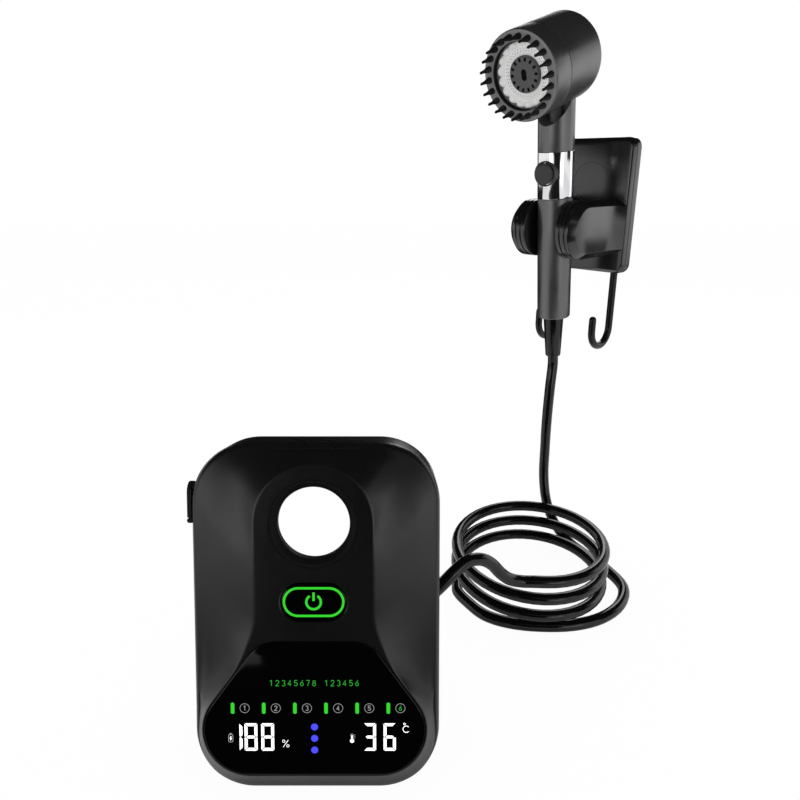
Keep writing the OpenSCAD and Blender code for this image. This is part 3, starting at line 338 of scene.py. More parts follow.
def soft(points, radius, steps):
    """A closed polygon with its corners rounded, by one radius or one for each corner."""
    points = [np.array(p, float) for p in points]
    n = len(points)
    radii = list(np.broadcast_to(radius, n))
    out = []
    for i in range(n):
        here, before, after = points[i], points[i - 1] - points[i], points[(i + 1) % n] - points[i]
        la, lb = np.linalg.norm(before), np.linalg.norm(after)
        before, after = before / la, after / lb
        half = math.acos(max(-1.0, min(1.0, float(before @ after)))) / 2
        if radii[i] <= 0 or half > 1.54 or half < 0.02:
            out.append(tuple(here))
            continue
        cut = min(radii[i] / math.tan(half), 0.49 * la, 0.49 * lb)
        r = cut * math.tan(half)
        middle = here + (before + after) / np.linalg.norm(before + after) * (r / math.sin(half))
        a, b = here + before * cut - middle, here + after * cut - middle
        spread = math.pi - 2 * half
        for k in range(steps + 1):
            t = k / steps
            p = (math.sin((1 - t) * spread) * a + math.sin(t * spread) * b) / math.sin(spread)
            out.append(tuple(middle + p))
    return out


def round_box(w, h, r, n):
    """An outline function of a rounded rectangle about the middle."""

    def shape(inset):
        out = []
        for k, (sx, sy) in enumerate(((1, 1), (-1, 1), (-1, -1), (1, -1))):
            for i in range(n + 1):
                a = math.pi / 2 * (k + i / n)
                x = sx * (w / 2 - r) + (r - inset) * math.cos(a)
                y = sy * (h / 2 - r) + (r - inset) * math.sin(a)
                out.append((x, y))
        return out

    return shape


def capsule(w, h, at=(0, 0), n=24):
    """An outline function of a stadium."""
    shape = round_box(w, h, h / 2, n)
    return lambda inset: [(x + at[0], y + at[1]) for x, y in shape(inset)]


def lens_outline(s):
    """An outline function of the lens: the hull of four circles."""
    n, circles = 240, []
    for x in (-1, 1):
        circles.append((x * (s.lens_w / 2 - s.lens_low_r), s.lens_low + s.lens_low_r, s.lens_low_r))
        circles.append((x * (s.lens_high_w / 2 - s.lens_high_r), s.lens_high - s.lens_high_r, s.lens_high_r))

    def shape(inset):
        out = []
        for i in range(n):
            c, d = math.cos(2 * math.pi * i / n), math.sin(2 * math.pi * i / n)
            x, y, r = max(circles, key=lambda k: k[0] * c + k[1] * d + k[2])
            out.append((x + (r - inset) * c, y + (r - inset) * d))
        return out

    return shape


def bevelled(low, high, edge, inset=0.0):
    """Levels of a slab whose upper edge is rounded."""
    steps = 3
    levels = [(inset, low)]
    for k in range(steps + 1):
        a = math.pi / 2 * k / steps
        levels.append((inset + edge * (1 - math.cos(a)), high - edge + edge * math.sin(a)))
    return levels


def box(x0, x1, y0, y1, z0, z1):
    """A plain box."""
    ring = [(x0, y0), (x1, y0), (x1, y1), (x0, y1)]
    return Solid().skin([[(x, y, z) for x, y in ring] for z in (z0, z1)])


def rod(radius, z0, z1, sides=96):
    """A plain cylinder along z."""
    return Solid().lathe([(0, z0), (radius, z0), (radius, z1), (0, z1)], sides)


# Pieces


def linked(name, data):
    """A new object in the scene."""
    obj = bpy.data.objects.new(name, data)
    bpy.context.scene.collection.objects.link(obj)
    return obj


def mesh_of(name, solid, lay, weld=WELD):
    """A clean mesh of a solid, moved by a matrix."""
    mesh = bpy.data.meshes.new(name)
    mesh.from_pydata(solid.points, [], solid.faces)
    for polygon, index in zip(mesh.polygons, solid.slots):
        polygon.material_index = index
    mesh.transform(lay)
    bm = bmesh.new()
    bm.from_mesh(mesh)
    bmesh.ops.remove_doubles(bm, verts=bm.verts, dist=weld)
    bmesh.ops.recalc_face_normals(bm, faces=bm.faces)
    bm.to_mesh(mesh)
    bm.free()
    return mesh


def shade(mesh):
    """Smooth faces with sharp edges between steep ones."""
    mesh.shade_smooth()
    mesh.set_sharp_from_angle(angle=SHARP)


def piece(name, solid, lay, materials, body=ROOT, nodes=()):
    """Makes an object of a solid, rides it on its body and puts it in place of CAD nodes."""
    return placed(name, mesh_of(name, solid, MM @ lay), materials, body, nodes)


def turned(name, points, radii, steps, sides, lay, mat, node, slot, body="cradle"):
    """Makes a piece of a turned profile with rounded corners."""
    return piece(name, Solid().lathe(soft(points, radii, steps), sides), lay, mat, body, (node,))


def placed(name, mesh, materials, body, nodes):
    """Links a finished mesh as a piece of the object."""
    obj = linked(name, mesh)
    for mat in materials if isinstance(materials, list) else [materials]:
        mesh.materials.append(mat)
    shade(mesh)
    if body:
        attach(obj, body)
    if nodes:
        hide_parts(*nodes)
    return obj


def carve(obj, cutters):
    """Takes the cutters, each a solid with its placing, out of an object."""
    tools = [linked("cutter", mesh_of("cutter", solid, MM @ lay)) for solid, lay in cutters]
    for tool in tools:
        modifier = obj.modifiers.new("carve", "BOOLEAN")
        modifier.operation = "DIFFERENCE"
        modifier.solver = "EXACT"
        modifier.object = tool
    settle(obj)
    for tool in tools:
        remove(tool)
    shade(obj.data)


def remove(obj):
    """Deletes a helper object with its mesh."""
    mesh = obj.data
    bpy.data.objects.remove(obj)
    bpy.data.meshes.remove(mesh)


def settle(obj):
    """Turns an object's modifiers into plain mesh."""
    bpy.context.view_layer.update()
    evaluated = obj.evaluated_get(bpy.context.evaluated_depsgraph_get())
    mesh = bpy.data.meshes.new_from_object(evaluated)
    old = obj.data
    obj.modifiers.clear()
    obj.data = mesh
    mesh.name = old.name
    bpy.data.meshes.remove(old)


# Nodes


def add_node(tree, kind, values=None, **settings):
    """A new node with its settings and the values of its inputs."""
    node = tree.nodes.new(kind)
    for key, value in settings.items():
        setattr(node, key, value)
    for key, value in (values or {}).items():
        node.inputs[key].default_value = value
    return node


def wire(tree, *links):
    """Links nodes, each link given as node, output, node and input."""
    for source, out, target, into in links:
        tree.links.new(source.outputs[out], target.inputs[into])


# Materials


def material(name, base, rough, metal=0.0, vary=0.12, grain=700.0, bump=0.05, rough_vary=0.08, specular=0.5,
             stretch=(1, 1, 1), glow=0.0):
    """A surface whose shade, roughness and fine relief vary with object coordinates."""
    mat = bpy.data.materials.new(name)
    mat.use_nodes = True
    tree = mat.node_tree
    shader = tree.nodes["Principled BSDF"]
    coordinates = add_node(tree, "ShaderNodeTexCoord")
    mapping = add_node(tree, "ShaderNodeMapping", {"Scale": stretch})
    noise = add_node(tree, "ShaderNodeTexNoise", {"Scale": grain, "Detail": 3.0})
    cloud = add_node(tree, "ShaderNodeTexNoise", {"Scale": 28.0, "Detail": 4.0})
    darker = [c * (1 - vary) for c in base] + [1]
    lighter = [min(1, c * (1 + vary)) for c in base] + [1]
    ramp = add_node(tree, "ShaderNodeMix", {6: darker, 7: lighter}, data_type="RGBA")
    span = {"To Min": max(0.02, rough - rough_vary), "To Max": min(1.0, rough + rough_vary)}
    spread = add_node(tree, "ShaderNodeMapRange", {"From Min": 0.3, "From Max": 0.7, **span})
    relief = add_node(tree, "ShaderNodeBump", {"Strength": bump, "Distance": 0.0002})
    wire(
        tree,
        (coordinates, "Object", mapping, "Vector"),
        (mapping, "Vector", noise, "Vector"),
        (coordinates, "Object", cloud, "Vector"),
        (cloud, "Fac", ramp, "Factor"),
        (ramp, 2, shader, "Base Color"),
        (cloud, "Fac", spread, "Value"),
        (spread, "Result", shader, "Roughness"),
        (noise, "Fac", relief, "Height"),
        (relief, "Normal", shader, "Normal"),
    )
    shader.inputs["Metallic"].default_value = metal
    shader.inputs["Specular IOR Level"].default_value = specular
    if glow:
        wire(tree, (ramp, 2, shader, "Emission Color"))
        shader.inputs["Emission Strength"].default_value = glow
    return mat


def finishes():
    """Every surface of the set, made once."""
    if "satin_black" in bpy.data.materials:
        return SimpleNamespace(**{m.name: m for m in bpy.data.materials})
    c = bpy.context.scene.shower_finishes
    made = [
        material("satin_black", c.shell, 0.30, rough_vary=0.05, grain=2600, bump=0.06, specular=0.40),
        material("liner_black", c.shell, 0.55, grain=2600, bump=0.06, specular=0.15),
        material("gloss_black", c.lens, 0.07, rough_vary=0.02, bump=0.0, specular=0.30),
        material("hose_black", c.hose, 0.13, rough_vary=0.04, grain=900, bump=0.06, specular=0.40),
        material("grey_satin", c.grey, 0.34, metal=0.9, grain=2600, bump=0.08),
        material("holder_black", c.holder, 0.20, rough_vary=0.04, grain=2600, bump=0.05, specular=0.8),
        # A lighter grey than the head's satin: painted light for the mode ring's flat front face
        material("ring_grey", c.ring, 0.45, grain=2600, bump=0.08, specular=0.4),
        material("disc_grey", c.disc, 0.45, grain=2600, bump=0.08, specular=0.35),
        material("dark_satin", c.dark, 0.42, grain=2600, bump=0.08, specular=0.35),
        material("wire_black", c.holder, 0.22, rough_vary=0.05, bump=0.03, specular=0.3),
        material("silicone", c.rubber, 0.55, grain=1500, bump=0.08, specular=0.25),
        material("spray_white", c.white, 0.38, vary=0.03, grain=1500, bump=0.03),
        material("chrome", c.chrome, 0.09, metal=1.0, vary=0.03, rough_vary=0.03, bump=0.01,
                 stretch=(1, 1, 0.05)),
        # Flat black for the marks on the spray plate: painted shade where its holes, windows and slot would be
        material("hole_black", (0.002, 0.002, 0.002), 0.8, bump=0.02, specular=0.1),
        material("board_green", (0.012, 0.10, 0.045), 0.42, grain=900),
        material("steel", (0.62, 0.62, 0.64), 0.28, metal=1.0, vary=0.05),
        material("copper", (0.72, 0.33, 0.16), 0.34, metal=1.0, vary=0.10, grain=1800, bump=0.2),
        material("cell_blue", (0.03, 0.13, 0.38), 0.30, grain=300),
        material("pump_grey", (0.16, 0.16, 0.165), 0.45, grain=1500),
        material("filter_paper", (0.78, 0.75, 0.66), 0.8, grain=1200, bump=0.3),
        material("pad_foam", (0.62, 0.62, 0.62), 0.85, grain=1800, bump=0.3),
    ]
    lights = (
        ("green_light", c.green, 0.05, 1.0),
        ("faint_green", c.faint, 0.05, 0.9),
        ("blue_light", c.blue, 0.05, 1.0),
        ("dim_light", c.dim, 0.03, 0.5),
        ("white_light", c.lit, 0.03, 0.9),
    )
    for name, base, vary, glow in lights:
        made.append(material(name, base, 0.35, vary=vary, glow=glow, bump=0.0, specular=0.2))
    return SimpleNamespace(**{m.name: m for m in made})


NODE_FINISH = {
    "board_green": ("display_board", "main_board"),
    "blue_light": ("status_leds",),
    "cell_blue": ("battery_cells",),
    "copper": ("motor_armature",),
    "dark_satin": ("button_switch", "inlet_grille"),
    # The water tube takes the lighter disc grey, chosen as painted light for the inside of the neck's scoop
    "disc_grey": ("water_tube",),
    "filter_paper": ("filter_cartridge",),
    "green_light": ("gear_leds",),
    "holder_black": ("cradle_web",),
    "pad_foam": ("adhesive_pad",),
    "pump_grey": ("battery_tray", "volute_body", "volute_cover", "outlet_link"),
    "satin_black": ("outlet_elbow", "hose_collar"),
    "silicone": ("cover_gasket", "shaft_seal", "port_hinge", "port_cover"),
    "spray_white": ("motor_endcap", "impeller", "valve_body"),
    "steel": ("cover_screws", "motor_can", "motor_shaft", "inlet_filter", "temperature_probe", "charge_port",
              "pivot_pins"),
    "white_light": ("display_digits",),
    "wire_black": ("left_hook", "right_hook"),
}


# Repeated pieces by geometry nodes


def ring_tree():
    """A node group that sets an object round a circle, facing outwards."""
    name = "ring_of_pieces"
    if name in bpy.data.node_groups:
        return bpy.data.node_groups[name]
    tree = bpy.data.node_groups.new(name, "GeometryNodeTree")
    sockets = (
        ("Geometry", "Geometry", "INPUT"),
        ("Count", "Int", "INPUT"),
        ("Radius", "Float", "INPUT"),
        ("Part", "Object", "INPUT"),
        ("Geometry", "Geometry", "OUTPUT"),
    )
    for label, kind, way in sockets:
        tree.interface.new_socket(label, in_out=way, socket_type=f"NodeSocket{kind}")
    start, end = add_node(tree, "NodeGroupInput"), add_node(tree, "NodeGroupOutput")
    hoop = add_node(tree, "GeometryNodeMeshCircle")
    part = add_node(tree, "GeometryNodeObjectInfo")
    place = add_node(tree, "GeometryNodeInputPosition")
    outwards = add_node(tree, "FunctionNodeAlignRotationToVector", axis="X", pivot_axis="Z")
    instance = add_node(tree, "GeometryNodeInstanceOnPoints")
    real = add_node(tree, "GeometryNodeRealizeInstances")
    wire(
        tree,
        (start, "Count", hoop, "Vertices"),
        (start, "Radius", hoop, "Radius"),
        (start, "Part", part, "Object"),
        (place, "Position", outwards, "Vector"),
        (hoop, "Mesh", instance, "Points"),
        (part, "Geometry", instance, "Instance"),
        (outwards, "Rotation", instance, "Rotation"),
        (instance, "Instances", real, "Geometry"),
        (real, "Geometry", end, "Geometry"),
    )
    return tree


def ring_of(name, part, count, radius, lay, mat, body, nodes=()):
    """Copies a solid round a circle and makes one piece of the copies."""
    template = linked("part", mesh_of("part", part, Matrix.Identity(4), WELD * 1000))
    obj = linked(name, bpy.data.meshes.new(name))
    tree = ring_tree()
    modifier = obj.modifiers.new("ring", "NODES")
    modifier.node_group = tree
    values = {"Count": count, "Radius": float(radius), "Part": template}
    for item in tree.interface.items_tree:
        if item.name in values:
            modifier[item.identifier] = values[item.name]
    settle(obj)
    made = obj.data
    bpy.data.objects.remove(obj)
    remove(template)
    made.materials.clear()
    made.transform(MM @ lay)
    return placed(name, made, mat, body, nodes)


# Flat signs


def stroke(solid, points, width, low, high, closed=False):
    """A flat line of even width through points, as a thin solid."""
    p = np.array(points, float)
    p = p[np.linalg.norm(p - np.roll(p, 1, axis=0), axis=1) > 1e-6]
    n = len(p)
    left, right = [], []
    for i in range(n):
        a = p[i] - p[i - 1] if closed or i else p[1] - p[0]
        b = p[(i + 1) % n] - p[i] if closed or i < n - 1 else p[i] - p[i - 1]
        a, b = a / np.linalg.norm(a), b / np.linalg.norm(b)
        t = (a + b) / np.linalg.norm(a + b)
        wide = width / 2 / max(0.4, float(t @ a))
        side = np.array([-t[1], t[0]]) * wide
        left.append(p[i] + side)
        right.append(p[i] - side)
    rings = [[(*u, low), (*v, low), (*v, high), (*u, high)] for u, v in zip(left, right)]
    return solid.skin(rings, loop=closed)


def arc(x, y, r, start, end, n):
    """Points of an arc, in degrees."""
    turns = [math.radians(start + (end - start) * i / n) for i in range(n + 1)]
    return [(x + r * math.cos(a), y + r * math.sin(a)) for a in turns]


def circle(x, y, r, n):
    """Points of a whole circle."""
    return arc(x, y, r, 0, 360, n)[:-1]


def seven(solid, figure, x, y, w, h, bar, low, high):
    """One seven-segment figure with its lower left corner at x, y."""
    lit = {"1": "ef", "3": "abgcd", "6": "afgedc", "8": "abcdefg"}[figure]
    half, mid, gap = bar / 2, h / 2, bar * 0.2
    near, far = half + gap, w - half - gap
    level = [(near, h - half), (far, h - half), (w + half - gap, h + half), (gap - half, h + half)]
    middle = [(gap, mid), (near, mid - half), (far, mid - half), (w - gap, mid), (far, mid + half), (near, mid + half)]
    upright = [(-half, h + half - gap), (-half, mid + gap), (0, mid + gap), (half, mid + near), (half, h - near)]
    parts = {
        "a": (level, False, False),
        "b": (upright, True, False),
        "c": (upright, True, True),
        "d": (level, False, True),
        "e": (upright, False, True),
        "f": (upright, False, False),
        "g": (middle, False, False),
    }
    for key in lit:
        shape, across, down = parts[key]
        ring = [(x + (w - px if across else px), y + (h - py if down else py)) for px, py in shape]
        if across != down:
            ring.reverse()
        solid.skin([[(px, py, z) for px, py in ring] for z in (low, high)])


FIGURES = {
    "1": [[(-0.22, 0.30), (0.05, 0.5), (0.05, -0.5)]],
    "2": [arc(0, 0.22, 0.28, 170, -30, 10) + [(-0.28, -0.5), (0.3, -0.5)]],
    "3": [arc(0, 0.24, 0.26, 150, -80, 10), arc(0, -0.24, 0.28, 80, -150, 10)],
    "4": [[(0.12, -0.5), (0.12, 0.5), (-0.3, -0.2), (0.3, -0.2)]],
    "5": [[(0.26, 0.5), (-0.2, 0.5), (-0.24, 0.06)] + arc(0, -0.18, 0.3, 130, -150, 12)],
    "6": [[(0.2, 0.5), (-0.18, 0.02)] + arc(0, -0.2, 0.28, 140, -215, 18)],
    "7": [[(-0.28, 0.5), (0.28, 0.5), (-0.08, -0.5)]],
    "8": [arc(0, 0.25, 0.23, 90, 440, 14), arc(0, -0.22, 0.28, 90, 440, 16)],
}


def figures(solid, line, x, y, high, pitch, width, z0, z1):
    """A line of plain numbers in thin strokes."""
    for i, figure in enumerate(line):
        for points in FIGURES.get(figure, []):
            stroke(solid, [(x + i * pitch + high * 0.95 * a, y + high * b) for a, b in points], width, z0, z1)


# The stage


def lamp(name, place, aim, size, power, wide=None):
    """A soft rectangular lamp that looks at a point."""
    data = bpy.data.lights.new(name, "AREA")
    data.shape = "RECTANGLE"
    data.size, data.size_y = size, wide or size
    data.energy = power
    obj = linked(name, data)
    z = (np.array(place) - np.array(aim)) / np.linalg.norm(np.array(place) - np.array(aim))
    up = np.array([0, 0, 1.0]) if abs(z[2]) < 0.95 else np.array([0, 1.0, 0])
    x = np.cross(up, z) / np.linalg.norm(np.cross(up, z))
    y = np.cross(z, x)
    obj.matrix_world = Matrix([*np.column_stack([x, y, z, place]).tolist(), [0, 0, 0, 1]])
    obj.visible_camera = False
    return obj


def floor_finish():
    """A pale floor that shows near white to the camera and keeps its shadows."""
    mat = material("pale_floor", (0.96, 0.96, 0.96), 0.9, vary=0.004, bump=0.0, specular=0.1)
    tree = mat.node_tree
    white = add_node(tree, "ShaderNodeEmission")
    path = add_node(tree, "ShaderNodeLightPath")
    share = add_node(tree, "ShaderNodeMath", {1: 0.965}, operation="MULTIPLY")
    mix = add_node(tree, "ShaderNodeMixShader")
    wire(
        tree,
        (path, "Is Camera Ray", share, 0),
        (share, "Value", mix, "Fac"),
        (tree.nodes["Principled BSDF"], "BSDF", mix, 1),
        (white, "Emission", mix, 2),
        (mix, "Shader", tree.nodes["Material Output"], "Surface"),
    )
    return mat


def sheet(name, corners, mat):
    """A flat sheet of the stage."""
    mesh = bpy.data.meshes.new(name)
    mesh.from_pydata(corners, [], [list(range(len(corners)))])
    mesh.materials.append(mat)
    obj = linked(name, mesh)
    return obj


def surround():
    """A white world, brighter to the camera and in reflections than as a lamp."""
    world = bpy.data.worlds.new("studio")
    bpy.context.scene.world = world
    world.use_nodes = True
    tree = world.node_tree
    back = tree.nodes["Background"]
    back.inputs["Color"].default_value = (1, 1, 1, 1)
    back.inputs["Strength"].default_value = 0.85
    seen = add_node(tree, "ShaderNodeBackground", {"Color": (1, 1, 1, 1), "Strength": 1.0})
    path = add_node(tree, "ShaderNodeLightPath")
    either = add_node(tree, "ShaderNodeMath", operation="MAXIMUM")
    any_of = add_node(tree, "ShaderNodeMath", operation="MAXIMUM")
    mix = add_node(tree, "ShaderNodeMixShader")
    wire(
        tree,
        (path, "Is Camera Ray", either, 0),
        (path, "Is Glossy Ray", either, 1),
        (either, "Value", any_of, 0),
        (path, "Is Transmission Ray", any_of, 1),
        (any_of, "Value", mix, "Fac"),
        (back, "Background", mix, 1),
        (seen, "Background", mix, 2),
        (mix, "Shader", tree.nodes["World Output"], "Surface"),
    )


def build_stage():
    """Camera, floor, lamps and a white surround."""
    scene = bpy.context.scene
    scene.view_settings.view_transform = "Standard"
    camera = bpy.data.cameras.new("camera")
    camera.sensor_width = 36.0
    camera.lens = 30.6
    camera.clip_start = 0.01
    eye = linked("camera", camera)
    eye.location = (0.044, -0.3139, 0.3135)
    eye.rotation_euler = (math.radians(71), 0, 0)
    scene.camera = eye
    sheet("floor", [(-4, -4, 0), (4, -4, 0), (4, 4, 0), (-4, 4, 0)], floor_finish())
    surround()

    black = material("card_black", (0.01, 0.01, 0.01), 0.9, bump=0.0, specular=0.0)
    cards = {
        "front_card": [(-0.5, -1.3, -0.2), (0.55, -1.3, -0.2), (0.55, -1.3, 0.3), (1.2, -1.3, 0.5), (1.2, -1.3, 1.0),
                       (-1.1, -1.3, 1.0), (-1.1, -1.3, 0.5), (-0.5, -1.3, 0.3)],
        "floor_card": [(-0.48, -1.3, 0.0005), (0.48, -1.3, 0.0005), (0.38, -0.2, 0.0005), (0.085, -0.068, 0.0005),
                       (-0.085, -0.068, 0.0005), (-0.48, -0.2, 0.0005)],
        "back_card": [(-1.2, 0.45, 0.0005), (1.8, 0.45, 0.0005), (1.8, 2.6, 0.0005), (-1.2, 2.6, 0.0005)],
        "left_card": [(-2.2, -0.9, 0.58), (-2.2, 0.2, 0.58), (-2.2, 0.2, 0.75), (-2.2, -0.9, 0.75)],
        "right_card": [(2.4, -1.0, 0.45), (2.4, 0.2, 0.45), (2.4, 0.2, 1.4), (2.4, -1.0, 1.4)],
        "rear_card": [(-1.2, 2.6, 0), (0.3, 2.6, 0), (0.3, 2.6, 1.1), (-1.2, 2.6, 1.1)],
        "top_card": [(-2.2, -1.3, 0.75), (2.4, -1.3, 1.4), (2.4, 2.6, 1.4), (-2.2, 2.6, 0.75)],
    }
    for name, corners in cards.items():
        card = sheet(name, corners, black)
        card.visible_camera = False
        card.visible_diffuse = False
        card.visible_shadow = False

    lamp("left_strip", (-0.95, -1.0, 0.2), (0.05, 0.05, 0.15), 0.55, 2.1, 0.85)
    lamp("right_strip", (0.85, -1.1, 0.2), (0.1, 0.1, 0.15), 0.5, 1.6, 0.8)
    lamp("top_soft", (0.1, 0.3, 1.6), (0.1, 0.1, 0.0), 1.4, 2).visible_glossy = False
    lamp("right_soft", (1.5, 0.5, 0.33), (0.17, 0.24, 0.27), 0.5, 0.5, 0.7)
    lamp("hose_strip", (0.46, 1.25, 0.72), (0.15, 0.15, 0.03), 0.5, 2, 0.4)


# The hose


def hose_route():
    """Points of the hose's middle line in millimetres, from the pump's collar to the hand shower's nut."""
    s, h = sizes("shower_hose"), sizes("shower_holder")
    top = s.radius + s.lift + s.pitch * s.turns

    def coil(a):
        a = np.asarray(a, float)
        x, y = s.coil_x + s.coil_rx * np.sin(a), s.coil_y - s.coil_ry * np.cos(a)
        return np.stack([x, y, top - s.pitch * a / (2 * math.pi)], axis=-1)

    end = 2 * math.pi * s.turns
    lead = coil(0.01) - coil(0)
    lead /= np.linalg.norm(lead)
    leave = coil(end) - coil(end - 0.01)
    leave /= np.linalg.norm(leave)
    enter, quit_ = coil(0) - 2 * s.radius * lead, coil(end) + 2 * s.radius * leave
    hand = np.array(hand_frame())

    def handset(z):
        return hand[:3, 2] * z + hand[:3, 3]

    nut = -h.handle_low - h.nut_len
    first = [(32, 54, 46), (41, 54, 46), (51, 54.5, 47), (61, 57, 51.5), (70, 60.5, 58), (79, 65, 65.5),
             (88, 70.5, 70), (97, 75.5, 68.5), (105, 79.5, 62.5), (112, 82.2, 53.5), (119, 84.8, 47),
             enter - 8 * lead, enter]
    last = [quit_, quit_ + 9 * leave, (94, 120, 4.5), (105, 104, 4.4), (121, 95, 4.4), (143, 91, 4.4),
            (168, 92, 4.4), (190, 100, 4.4), (208, 116, 4.4), (217, 138, 4.4), (211, 163, 4.4), (205.5, 173.5, 4.6),
            (200, 184, 4.8), (188, 203, 8), (179, 219, 18), (174, 230, 33), (172, 237, 53), (172, 240, 76),
            (172.2, 242, 105), (173.4, 244.2, 135), handset(nut - 2 * s.radius), handset(nut)]
    middle = coil(np.linspace(0, end, 133))
    return np.vstack([smooth(first, 4)[:-1], enter[None], middle, quit_[None], smooth(last, 4)[1:]])


def smooth(points, steps):
    """A curve through points, straight at both ends."""
    p = np.array([np.array(q, float) for q in points])
    p = np.vstack([2 * p[0] - p[1], p, 2 * p[-1] - p[-2]])
    out = []
    for i in range(1, len(p) - 2):
        a, b, c, d = p[i - 1], p[i], p[i + 1], p[i + 2]
        l = np.linalg.norm(c - b)
        m0 = (c - a) / (np.linalg.norm(c - b) + np.linalg.norm(b - a)) * l
        m1 = (d - b) / (np.linalg.norm(d - c) + np.linalg.norm(c - b)) * l
        for k in range(steps):
            t = k / steps
            out.append(
                (2 * t**3 - 3 * t**2 + 1) * b + (t**3 - 2 * t**2 + t) * m0
                + (3 * t**2 - 2 * t**3) * c + (t**3 - t**2) * m1
            )
    out.append(p[-2])
    return np.array(out)


def build_hose():
    """The whole hose, from the pump to the hand shower."""
    s = sizes("shower_hose")
    path = hose_route()
    solid = Solid().sweep(path, s.radius, 20)
    hose = piece("hose", solid, Matrix.Identity(4), finishes().hose_black, None,
                 ("hose_pump_run", "hose_coil", "hose_drop"))
    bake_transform(hose)


# The pump


def plateau_rings(s, levels):
    """Rings round the face at (inset, blend towards the plateau, z) levels."""
    count = 288
    turns = np.arange(count) * 2 * math.pi / count
    ways = np.stack([np.cos(turns), np.sin(turns)], axis=1)
    middle = np.array([0, 80.0])
    ease = 14
    core_low = s.lens_w / 2 - s.lens_low_r + 0.5
    core_high = s.lens_high_w / 2 - s.lens_high_r - 5
    y0, y1 = s.lens_low + s.lens_low_r + 0.2, s.lens_high - 20
    core = np.array([(-core_low, y0), (core_low, y0), (core_high, y1), (-core_high, y1)])

    def to_line(p, a, b):
        d = b - a
        t = np.clip(((p - a) @ d) / (d @ d), 0, 1)
        return np.linalg.norm(p - a - t[:, None] * d, axis=1)

    def top(p):
        column = to_line(p, np.array([0, y1]), np.array([0, s.hole_y])) - s.column_w / 2
        sides = [(core[i], core[(i + 1) % 4]) for i in range(4)]
        inside = np.min([(b[0] - a[0]) * (p[:, 1] - a[1]) - (b[1] - a[1]) * (p[:, 0] - a[0]) for a, b in sides], 0)
        panel = np.where(inside >= 0, 0, np.min([to_line(p, a, b) for a, b in sides], 0)) - s.lens_low_r - 1
        near = np.maximum(ease - np.abs(column - panel), 0) / ease
        return np.minimum(column, panel) - near * near * ease / 4

    def rim(p):
        q = np.abs(p - np.array([0, s.body_h / 2])) - (np.array([s.body_w, s.body_h]) / 2 - s.corner_r)
        return np.linalg.norm(np.maximum(q, 0), axis=1) + np.minimum(np.max(q, 1), 0) - s.corner_r

    def reach(field, inset):
        low, high = np.zeros(count), np.full(count, 200.0)
        for _ in range(40):
            mid = (low + high) / 2
            inside = field(middle + mid[:, None] * ways) + inset < 0
            low, high = np.where(inside, mid, low), np.where(inside, high, mid)
        return (low + high) / 2

    out = []
    lower = np.clip((ways[:, 1] + 0.85) / 0.35, 0.15, 1)
    for inset, t, z in levels:
        r0, r1 = reach(rim, inset * lower), reach(top, min(inset, 0.5))
        flat = middle + (r0 + (r1 - r0) * t)[:, None] * ways
        out.append([(x, y, z) for x, y in flat])
    return out


def body_outline(s, inset):
    """An outline function of the whole face."""
    shape = round_box(s.body_w, s.body_h, s.corner_r, 20)
    return lambda more: [(x, y + s.body_h / 2) for x, y in shape(inset + more)]


def column_outline(s):
    """The hollow behind the raised column."""
    r = s.column_w / 2 - 5
    low = s.lens_high + 4
    return lambda inset: [(-r, low), (r, low)] + arc(0, s.hole_y, r, 0, 180, 40)


